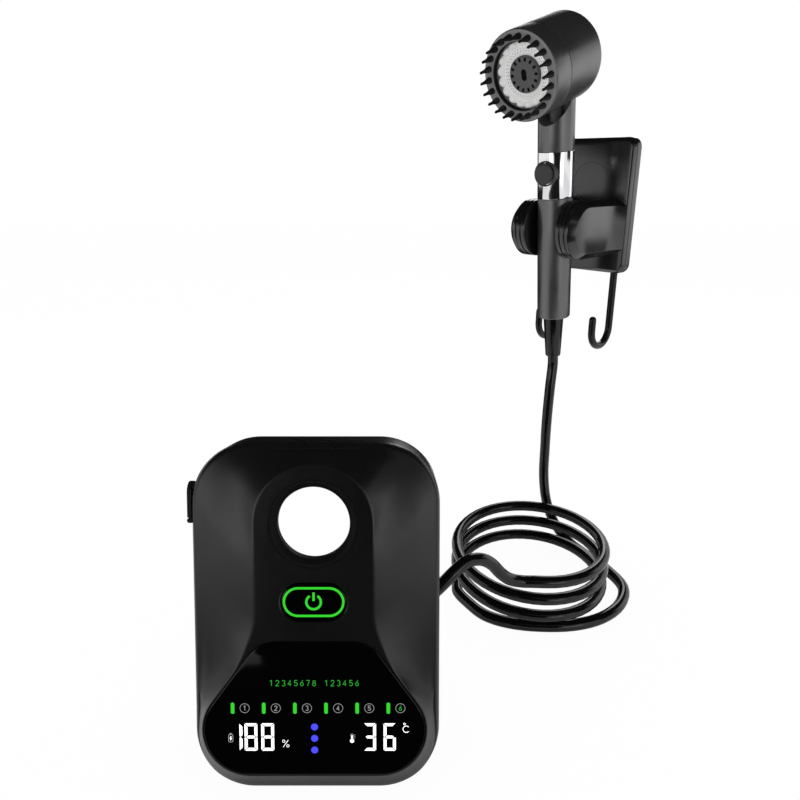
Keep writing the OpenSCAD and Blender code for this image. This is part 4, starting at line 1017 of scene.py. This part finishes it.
def build_housing():
    """Front and rear covers and the carry hole's sleeve."""
    s, f = sizes("shower_pump"), finishes()
    face = face_frame()
    slope = [(0.12, 1.05), (0.3, 2.75), (0.5, 4.75), (0.7, 6.85), (0.86, 8.5), (0.94, 9.35),
             (0.975, 9.7), (1.0, 9.88), (1.025, 9.97), (1.05, s.rise)]
    bend = [math.pi / 2 * k / 6 for k in range(1, 7)]
    edge_in, edge_low, edge_rise = 3.2, -5.5, 5.0
    levels = [(0.4, 0, -s.front_d), (0, 0, 0.45 - s.front_d), (0, 0, edge_low)]
    levels += [(edge_in * (1 - math.cos(a)), 0, edge_low + edge_rise * math.sin(a)) for a in bend]
    levels += [(edge_in, t, z) for t, z in slope]
    front = piece("front_shell", Solid().skin(plateau_rings(s, levels)), face, f.satin_black,
                  nodes=("front_cover",))
    inner = body_outline(s, s.wall)
    sleeve_r = s.hole_r + s.hole_chamfer + s.sleeve_t
    step, deep, side = -s.wall, s.rise - s.face_t, s.body_w / 2
    lens = lens_outline(s)
    button = capsule(s.button_w + 0.6, s.button_h + 0.6, (0, s.button_y))
    carve(front, [
        (Solid().slab(inner, [(0, -s.front_d - 1), (0, step)]), face),
        (Solid().slab(column_outline(s), [(0, step - 1), (0, deep)]), face),
        (Solid().slab(lens, [(0, s.rise - 2), (0, s.rise - 0.35), (-0.35, s.rise), (-0.4, s.rise + 1)]), face),
        (Solid().slab(lens, [(4, step - 1), (4, s.rise + 1)]), face),
        (Solid().slab(button, [(0, deep - 2), (0, s.rise - 0.6), (-0.6, s.rise), (-0.7, s.rise + 1)]), face),
        (rod(sleeve_r + 0.1, -s.front_d - 1, s.rise + 1), face @ move(0, s.hole_y, 0)),
        (box(-side - 1, s.wall + 2 - side, s.socket_y - s.socket_w / 2, s.socket_y + s.socket_w / 2,
             -s.socket_z - s.socket_h / 2, -s.socket_z + s.socket_h / 2), face),
        (box(-200, 200, -200, 200, -60, 0), Matrix.Identity(4)),
    ])

    rear = rear_block(s)
    flare_z = s.rise - s.hole_chamfer - s.hole_bore
    back_z = -(s.base_d - s.hole_y * math.sin(math.radians(s.lean))) / math.cos(math.radians(s.lean))
    rate = (s.flare_r - s.hole_r) / (flare_z - back_z)
    tail = 90
    far, tail_r = flare_z - tail, tail * rate
    tunnel = Solid().lathe([(0, far), (sleeve_r + 0.1 + tail_r, far), (sleeve_r + 0.1, flare_z),
                            (sleeve_r + 0.1, s.rise), (0, s.rise)], 120)
    through = (s.base_d / 2 - 4, s.base_d / 2 + 4)
    cutters = [(rear_form(s, s.wall, 1.0), Matrix.Identity(4)), (tunnel, face @ move(0, s.hole_y, 0)),
               (rod(s.inlet_r, *through), move(-s.inlet_x, 0, s.inlet_z) @ turn(-90, "X")),
               (rod(s.outlet_r, *through, 48), move(s.outlet_x, 0, s.outlet_z) @ turn(-90, "X"))]
    foot, towers = -s.front_d - s.tower_len, Solid()
    tower = [(s.tower_bore, foot), (s.tower_r, foot), (s.tower_r, -s.front_d - 0.4), (s.tower_bore, -s.front_d - 0.4)]
    for x in (s.wall + 3.5 - side, side - s.wall - 3.5):
        for y in (s.screw_low, s.screw_high):
            cutters.append((rod(s.screw_r, -s.front_d - 120, foot, 40), face @ move(x, y, 0)))
            towers.lathe(tower, 32, lay=move(x, y, 0))
    carve(rear, cutters)
    piece("screw_towers", towers, face, f.satin_black)

    sleeve = turned(
        "hole_liner",
        [(sleeve_r, s.rise), (s.hole_r + s.hole_chamfer, s.rise), (s.hole_r, s.rise - s.hole_chamfer),
         (s.hole_r, flare_z), (s.hole_r + tail_r, far), (sleeve_r + tail_r, far), (sleeve_r, flare_z)],
        [0.3, 0.7, 1.2, 6, 0, 0, 2], 5, 128, face @ move(0, s.hole_y, 0), f.liner_black, "hole_sleeve", "shell", ROOT,
    )
    carve(sleeve, [(box(-200, 200, s.base_d / 2, 300, -200, 400), Matrix.Identity(4))])


def rear_form(s, inset, extra):
    """The rear cover's block: the face's outline drawn back and cut by the back and the floor."""
    lean = math.radians(s.lean)
    back = s.base_d / 2 - inset
    front_z = -s.front_d + extra
    near, far = [], []
    for x, y in body_outline(s, inset)(0):
        floor_y = (inset - front_z * math.sin(lean)) / math.cos(lean)
        y0 = max(y, floor_y)
        near.append(to_shared(s, x, y0, front_z))
        depth = (-s.base_d / 2 + y0 * math.sin(lean) - back) / math.cos(lean)
        low = y0 * math.cos(lean) + depth * math.sin(lean)
        if low < inset:
            y1 = inset * math.cos(lean) + (back + s.base_d / 2) * math.sin(lean)
            far.append((x, back, inset) if y1 > y0 else to_shared(s, x, y0, depth))
        else:
            far.append(to_shared(s, x, y0, depth))
    return Solid().skin([near, far])


def to_shared(s, x, y, z):
    """A point of the face in the shared frame."""
    lean = math.radians(s.lean)
    return (x, -s.base_d / 2 + y * math.sin(lean) - z * math.cos(lean), y * math.cos(lean) + z * math.sin(lean))


def rear_block(s):
    """The rear cover's solid form with rounded back edges."""
    rear = piece("rear_shell", rear_form(s, 0.0, 0.0), Matrix.Identity(4), finishes().satin_black,
                 nodes=("rear_cover",))
    bm = bmesh.new()
    bm.from_mesh(rear.data)
    back = s.base_d / 2 * 0.001
    edges = [e for e in bm.edges if all(abs(v.co.y - back) < 1e-5 for v in e.verts) and e.is_boundary is False
             and e.calc_face_angle(0) > 0.5]
    bmesh.ops.bevel(bm, geom=edges, offset=0.003, segments=5, profile=0.5, affect="EDGES", clamp_overlap=True)
    bmesh.ops.recalc_face_normals(bm, faces=bm.faces)
    bm.to_mesh(rear.data)
    bm.free()
    return rear


def build_display():
    """The glossy lens and its lit signs."""
    s, f = sizes("shower_pump"), finishes()
    face = face_frame()
    top = s.rise + 0.2
    piece("lens_glass", Solid().slab(lens_outline(s), bevelled(s.rise - 1.9, top, 0.45, 0.1)), face, f.gloss_black,
          nodes=("display_lens",))
    low, high = top - 0.04, top + 0.05
    green, faint, plain, blue, rings = Solid(), Solid(), Solid(), Solid(), Solid()

    def line(solid, points, width, closed=False):
        stroke(solid, points, width, low, high, closed)

    def spot(solid, shape, x, y, spin=0):
        solid.slab(shape, [(0, low), (0, high)], lay=move(x, y, 0) @ turn(spin, "Z"))

    gear_y = 49.1
    for i in range(6):
        x = -42 + 16 * i
        spot(green, round_box(1.85, 5.9, 0.85, 5), x, gear_y)
        line(rings, circle(x + 6.2, gear_y, 2.4, 32), 0.22, True)
        figures(faint if i == 5 else rings, str(i + 1), x + 6.2, gear_y, 2.4, 0, 0.3, low, high)
    figures(faint, "12345678 123456", -22.0, 62.4, 2.9, 3.14, 0.28, low, high)
    for figure, x, w in (("1", -37.9, 0), ("8", -35.3, 5.1), ("8", -26.7, 5.1), ("3", 26.1, 4.8), ("6", 36.3, 4.8)):
        seven(plain, figure, x, 27.2, w, 13.1, 1.5, low, high)
    # Percent sign
    line(plain, [(-16.2, 28.4), (-13.6, 32.1)], 0.26)
    for x, y in ((-15.95, 31.5), (-13.85, 29.0)):
        line(plain, circle(x, y, 0.65, 20), 0.22, True)
    # Battery sign
    x, y = -43.2, 33.1
    line(rings, [(x + a, y + b) for a, b in round_box(2.2, 4.0, 0.6, 3)(0)], 0.28, True)
    spot(rings, round_box(1.2, 0.5, 0.2, 2), x, y + 2.4)
    line(plain, [(x + 0.2, y + 1.1), (x - 0.3, y), (x + 0.3, y), (x - 0.2, y - 1.1)], 0.4)
    # Thermometer
    x = 19.3
    spot(plain, capsule(2.1, 2.09, n=10), x, 31.7)
    spot(plain, capsule(3.4, 0.9, n=8), x, 33.0, 90)
    line(rings, arc(x, 34.6, 0.8, 0, 180, 10), 0.24)
    for y in (33.2, 34.0, 34.8):
        line(rings, [(x + 1, y), (x + 1.6, y)], 0.26)
    # Degree sign
    line(plain, circle(46.3, 40.7, 0.5, 16), 0.24, True)
    line(plain, arc(47.25, 37.9, 1.7, 45, 315, 20), 0.32)
    for y in (26.8, 33.0, 39.1):
        spot(blue, capsule(3.6, 3.59, n=12), 0, y)
    piece("signs_green", green, face, f.green_light)
    piece("signs_faint", faint, face, f.faint_green)
    piece("signs_rings", rings, face, f.dim_light)
    piece("signs_white", plain, face, f.white_light)
    piece("signs_blue", blue, face, f.blue_light)


def build_button():
    """The power button with its lit ring and sign."""
    s, f = sizes("shower_pump"), finishes()
    lay = face_frame() @ move(0, s.button_y, 0)
    top, low = s.rise - 0.6, s.rise - s.face_t - 1.6
    cap = Solid().slab(capsule(s.button_w, s.button_h), bevelled(low + 1.3, top, 0.8))
    cap.slab(capsule(s.button_w + 3, s.button_h + 3), [(0, low), (0, low + 1.29)])
    piece("button_cap", cap, lay, f.gloss_black, "power_button", ("power_button",))
    a, b, thick = top - 0.4, top + 0.08, 1.2
    glow = Solid()
    stroke(glow, capsule(s.button_w - 3.3, s.button_h - 5.2)(0), thick, a, b, closed=True)
    stroke(glow, arc(0, 0, 3.7, 122, 418, 40), thick, a, b)
    stroke(glow, [(0, 0.6), (0, 5.0)], thick, a, b)
    piece("button_glow", glow, lay, f.green_light, "power_button", ("button_light",))


# The wall holder


def build_holder():
    """Wall plate and arms."""
    s, f = sizes("shower_holder"), finishes()
    wall = wall_frame()
    lay = wall @ move(0, s.reach + s.plate_t, s.plate_rise) @ turn(90, "X")
    edge = [(0.12, 3.05), (0.5, 2.5), (2.4, 0.55), (2.9, 0.15), (3.5, 0)]
    levels = [(0.5, 0), (0, 0.6), (0, s.plate_t - 3.6)] + [(inset, s.plate_t - z) for inset, z in edge]
    piece("plate_shell", Solid().slab(round_box(s.plate_w, s.plate_h, s.plate_r, 12), levels), lay, f.holder_black,
          nodes=("wall_plate",))
    ring = Solid()
    stroke(ring, circle(0, 19, 15.5, 90), 0.45, s.plate_t - 0.1, s.plate_t + 0.04, closed=True)
    piece("plate_ring", ring, lay, f.dark_satin)
    arm_in = s.ring_in + s.ring_t + 0.3

    def side(inset):
        r = s.arm_r - inset
        along = np.linspace(s.reach, 0, 17)[:-1]
        bend = np.linspace(0, math.pi, 49)
        return ([(y, -r) for y in along] + [(-r * math.sin(a), -r * math.cos(a)) for a in bend]
                + [(y, r) for y in along[::-1]])

    def spread(x, y):
        root = max(0.0, (y - 0.55 * s.reach) / (0.45 * s.reach))
        return x + 4.5 * root**2 * (x - arm_in) / s.arm_t

    edge = [(0, 5.4), (0.15, 4.95), (0.5, 4.5), (4.4, 0.55), (4.8, 0.2), (5.4, 0)]
    levels = [(0.5, arm_in), (0, arm_in + 0.5)] + [(inset, arm_in + s.arm_t - x) for inset, x in edge]
    for name, node, sign in (("arm_left_shell", "left_arm", -1), ("arm_right_shell", "right_arm", 1)):
        rings = [[(sign * spread(x, y), y, z) for y, z in side(inset)] for inset, x in levels]
        arm = piece(name, Solid().skin(rings, strips=True), wall, f.holder_black, nodes=(node,))
        carve(arm, [(rod(4.0, arm_in - 1, arm_in + s.arm_t - 2, 48), wall @ turn(90 * sign, "Y"))])


def build_cradle():
    """The two pivot rings that carry the hand shower."""
    s, f = sizes("shower_holder"), finishes()
    hand = hand_frame()
    low, high, r = s.ring_in, s.ring_in + s.ring_t, s.arm_r
    mid = s.ring_in + s.ring_t / 2
    points = [(0, low), (r, low), (r, mid - 0.5), (r - 1, mid - 0.5), (r - 1, mid + 0.5), (r, mid + 0.5), (r, high),
              (4.05, high), (4.05, low + 1.5), (0, low + 1.5)]
    radii = [0, 0.9, 0.3, 0.2, 0.2, 0.3, 0.5, 0, 0, 0]
    for name, node, sign in (("ring_left_shell", "left_ring", -1), ("ring_right_shell", "right_ring", 1)):
        turned(name, points, radii, 4, 112, hand @ turn(90 * sign, "Y"), f.holder_black, node, "grey")


# The hand shower


def build_handle():
    """Handle, chrome band, neck, nut and stop button."""
    s, f = sizes("shower_holder"), finishes()
    hand = hand_frame()
    low, high, top = -s.handle_low, s.handle_high, s.handle_high + s.band_len
    r_top = s.handle_mid_r + (s.handle_mid_r - s.handle_low_r) * high / s.handle_low
    bore = s.handle_low_r - 2
    turned("handle_tube", [(6.1, low), (s.handle_low_r, low), (r_top, high), (bore, high), (bore, low + 4),
                           (6.1, low + 4)], [0, 1.8, 0.5, 0, 0, 0], 6, 112, hand, f.grey_satin, "handle_shell", "grey")
    nut = low - s.nut_len
    turned("nut_cone", [(0, nut), (s.nut_low_r, nut), (s.nut_high_r, low - 0.05), (6, low - 0.05), (6, low + 12),
                        (0, low + 12)], [0, 1.0, 0.4, 0, 0, 0], 5, 80, hand, f.hose_black, "hose_nut", "rubber")

    r = s.band_r
    band = turned("chrome_sleeve", [(r, high), (r, top), (r - 1.5, top), (r - 1.5, high)], [0.35, 0.35, 0, 0], 4, 128,
                  hand, f.chrome, "chrome_band", "chrome")
    stop_z = high + s.stop_rise
    front = hand @ move(0, 0, stop_z) @ turn(90, "X")
    carve(band, [(rod(4.6, 0, 2 * r, 48), front)])
    rest = r + s.stop_travel + 0.3
    near, far = s.stop_r + 0.3, s.stop_r + 1.4
    saddle = turned("stop_base", [(near, 0), (far, 0), (far, rest - 0.2), (near, rest - 0.2)], [0, 0, 0.5, 0.3], 4, 96,
                    front, f.dark_satin, "stop_collar", "dark_grey")
    carve(saddle, [(rod(r, low, top + 40, 128), hand)])
    turned("stop_cap", [(0, -5), (3.5, -5), (3.5, rest), (s.stop_r, rest), (s.stop_r, rest + 1.3),
                        (s.stop_r - 2, rest + 1.8), (0, rest + 1.7)], [0, 0, 0, 0.3, 0.7, 2, 0], 5, 96, front,
           f.dark_satin, "stop_button", "dark_grey", "stop_button")

    rise = s.head_z - 8
    neck = turned("neck_tube", [(r, top + 0.05), (r, rise), (5.3, rise), (5.3, top + 0.05)], [0.35, 0, 0, 0], 4, 128,
                  hand, f.grey_satin, "neck", "grey")
    head = head_frame()
    scoop = head @ move(0, s.scoop_r - s.head_r - s.scoop_d, 0)
    scoop_z = 6.1
    carve(neck, [(rod(s.head_r - 0.4, -60, 60, 128), head), (rod(s.scoop_r, scoop_z, 60, 96), scoop)])
    # The scoop's faces take the lighter disc grey in place of the neck's satin: painted light in the shade under the
    # head
    neck.data.materials.append(f.disc_grey)
    to_scoop = scoop.inverted()
    for polygon in neck.data.polygons:
        x, y, z = to_scoop @ (polygon.center * 1000)
        if z > scoop_z - 0.1 and math.hypot(x, y) < s.scoop_r + 0.05:
            polygon.material_index = 1


def build_head():
    """The spray head with its turning ring, silicone points and spray plate."""
    s, f = sizes("shower_holder"), finishes()
    head = head_frame()
    r, front, back = s.head_r, s.head_front, -s.head_back
    seam, spray, spigot = front - s.mode_len, front - 8, s.face_r - 0.05
    inner, ledge = spigot - 1, spigot - 4
    shelf = spray - 2.2
    turned("head_body", [(0, back), (r, back), (r, seam), (spigot, seam), (spigot, front - 4), (inner, front - 4),
                         (inner, shelf), (ledge, shelf), (ledge, seam - 4), (r - 2.5, seam - 4), (r - 2.5, back + 4),
                         (0, back + 4)], [0, 8, 0.4, 0, 0.3, 0.3, 0, 0, 0, 0, 4, 0], 8, 144, head, f.grey_satin,
           "head_shell", "grey")
    profile = soft([(s.face_r, seam + 0.3), (r, seam + 0.3), (r, front - 0.6), (r - 2.0, front),
                    (s.face_r + 0.9, front), (s.face_r, front - 0.8)], [0, 0.4, 1.2, 0.6, 0.3, 0.3], 5)
    collar = Solid().lathe(profile, 144)
    # Slot 1, the flat front face, is painted a lighter grey than the satin: painted light where that face catches the
    # left lamp
    collar.paint(1, lambda x, y, z: z > front - 0.45 and math.hypot(x, y) < r - 0.6)
    collar.paint(2, lambda x, y, z: math.hypot(x, y) < s.face_r + 0.25)
    piece("mode_collar", collar, head, [f.grey_satin, f.ring_grey, f.liner_black], "mode_ring", ("mode_ring",))
    tip = s.comb_len - 0.5
    point = Solid().lathe([(0, -0.5), (2.1, -0.5), (2.15, 0.4), (2.1, 1.4), (1.9, 2.8), (1.55, 4.4), (1.2, 6.0),
                           (1.0, 8.0), (0.95, tip - 0.8), (0.8, tip - 0.3), (0.45, tip - 0.04), (0, tip)], 20)
    comb_r = (s.face_r + 1.2 + r - 2.6) / 2
    ring_of("silicone_points", point, s.comb_count, comb_r, head @ move(0, 0, front),
            f.silicone, "mode_ring", ("comb_ring",))

    disc, edge = s.disc_r, inner - 0.1
    turns = [2 * math.pi * i / 320 for i in range(320)]

    def ring(q, rise, lobe=0.0):
        out = []
        for a in turns:
            petal = abs(math.sin(9 * a)) ** 0.6
            reach = q - lobe * petal
            out.append((reach * math.cos(a), reach * math.sin(a), spray + rise * (petal if rise > 0 else 1)))
        return out

    plate = Solid().skin([ring(disc, -2.2), ring(edge, -2.2), ring(edge, 3.5), ring(edge - 0.6, 3.7, 0.2),
                          ring(edge - 1.1, 3.1, 0.6), ring(edge - 1.5, 1.8, 1.3), ring(edge - 1.8, 0.6, 1.7),
                          ring(edge - 2.0, 0, 2.0), ring(disc, 0)], loop=True)
    piece("spray_rose", plate, head, f.spray_white, "cradle", ("spray_plate",))
    under = Solid().lathe([(disc, spray - 2.1), (inner, spray - 2.1), (inner, spray - 0.9),
                           (disc, spray - 0.9)], 96)
    piece("rose_back", under, head, f.liner_black, "cradle")
    # The spray holes, the disc's windows and its slot are flat black marks at the surface: painted shade in place of
    # real openings
    hole = rod(0.3, -0.3, 0.03, 10)
    for k, (count, radius) in enumerate(((40, 14.9), (44, 16.4))):
        ring_of(f"spray_holes_{k + 1}", hole, count, radius, head @ move(0, 0, spray), f.hole_black, "cradle")
    turned("rose_middle", [(0, shelf), (disc - 0.1, shelf), (disc - 0.1, spray + 2.6), (0, spray + 2.8)],
           [0, 0, 0.8, 0], 5, 112, head, f.disc_grey, "center_disc", "dark_grey")
    window = Solid().slab(round_box(2.6, 1.8, 0.4, 3), bevelled(-0.6, 0.04, 0.05))
    ring_of("rose_windows", window, 14, disc - 2.3, head @ move(0, 0, spray + 2.64), f.hole_black, "cradle")
    opening = Solid().slab(capsule(7.6, 4.2), [(0, -0.6), (0, 0.04)])
    piece("rose_slot", opening, head @ move(0, 0, spray + 2.78) @ turn(90, "Z"), f.hole_black, "cradle")


def build_details():
    """Finishes for the CAD pieces that are shown as they are."""
    f = finishes()
    for finish, names in NODE_FINISH.items():
        for name in names:
            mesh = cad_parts[name].data
            mesh.materials.clear()
            mesh.materials.append(getattr(f, finish))


# Operators and panel


class SHOWERPUMP_OT_stage(bpy.types.Operator):
    """Add the camera, the floor and the lamps"""

    bl_idname = "shower_pump.stage"
    bl_label = "Stage"

    def execute(self, context):
        build_stage()
        return {"FINISHED"}


class SHOWERPUMP_OT_hose(bpy.types.Operator):
    """Add the coiled hose"""

    bl_idname = "shower_pump.hose"
    bl_label = "Hose"

    def execute(self, context):
        build_hose()
        return {"FINISHED"}


class SHOWERPUMP_OT_housing(bpy.types.Operator):
    """Add the pump's covers"""

    bl_idname = "shower_pump.housing"
    bl_label = "Housing"

    def execute(self, context):
        build_housing()
        return {"FINISHED"}


class SHOWERPUMP_OT_display(bpy.types.Operator):
    """Add the display lens and its signs"""

    bl_idname = "shower_pump.display"
    bl_label = "Display"

    def execute(self, context):
        build_display()
        return {"FINISHED"}


class SHOWERPUMP_OT_button(bpy.types.Operator):
    """Add the power button"""

    bl_idname = "shower_pump.button"
    bl_label = "Power button"

    def execute(self, context):
        build_button()
        return {"FINISHED"}


class SHOWERPUMP_OT_holder(bpy.types.Operator):
    """Add the wall plate and its arms"""

    bl_idname = "shower_pump.holder"
    bl_label = "Wall holder"

    def execute(self, context):
        build_holder()
        return {"FINISHED"}


class SHOWERPUMP_OT_cradle(bpy.types.Operator):
    """Add the pivot rings"""

    bl_idname = "shower_pump.cradle"
    bl_label = "Cradle"

    def execute(self, context):
        build_cradle()
        return {"FINISHED"}


class SHOWERPUMP_OT_handle(bpy.types.Operator):
    """Add the hand shower's handle"""

    bl_idname = "shower_pump.handle"
    bl_label = "Handle"

    def execute(self, context):
        build_handle()
        return {"FINISHED"}


class SHOWERPUMP_OT_head(bpy.types.Operator):
    """Add the spray head"""

    bl_idname = "shower_pump.head"
    bl_label = "Head"

    def execute(self, context):
        build_head()
        return {"FINISHED"}


class SHOWERPUMP_OT_details(bpy.types.Operator):
    """Finish the smaller pieces"""

    bl_idname = "shower_pump.details"
    bl_label = "Details"

    def execute(self, context):
        build_details()
        return {"FINISHED"}


OPERATORS = [
    SHOWERPUMP_OT_stage,
    SHOWERPUMP_OT_hose,
    SHOWERPUMP_OT_housing,
    SHOWERPUMP_OT_display,
    SHOWERPUMP_OT_button,
    SHOWERPUMP_OT_holder,
    SHOWERPUMP_OT_cradle,
    SHOWERPUMP_OT_handle,
    SHOWERPUMP_OT_head,
    SHOWERPUMP_OT_details,
]


class SHOWERPUMP_PT_build(bpy.types.Panel):
    """Lists the pieces that can be built."""

    bl_label = "Shower pump"
    bl_space_type = "VIEW_3D"
    bl_region_type = "UI"
    bl_category = "Shower pump"

    def draw(self, context):
        for item in OPERATORS:
            self.layout.operator(item.bl_idname)


GROUPS = {
    "shower_pump": ShowerPumpSizes,
    "shower_hose": ShowerHoseSizes,
    "shower_holder": ShowerHolderSizes,
    "shower_finishes": ShowerFinishes,
}


def register():
    """Registers the property groups, operators and panel."""
    for name, group in GROUPS.items():
        bpy.utils.register_class(group)
        setattr(bpy.types.Scene, name, PointerProperty(type=group))
    for item in [*OPERATORS, SHOWERPUMP_PT_build]:
        bpy.utils.register_class(item)


def unregister():
    """Removes what register added."""
    for item in [SHOWERPUMP_PT_build, *OPERATORS[::-1]]:
        bpy.utils.unregister_class(item)
    for name, group in reversed(GROUPS.items()):
        delattr(bpy.types.Scene, name)
        bpy.utils.unregister_class(group)


def main():
    """Builds the whole scene."""
    register()
    for item in OPERATORS:
        getattr(bpy.ops.shower_pump, item.bl_idname.split(".")[1])()


if __name__ == "__main__":
    main()
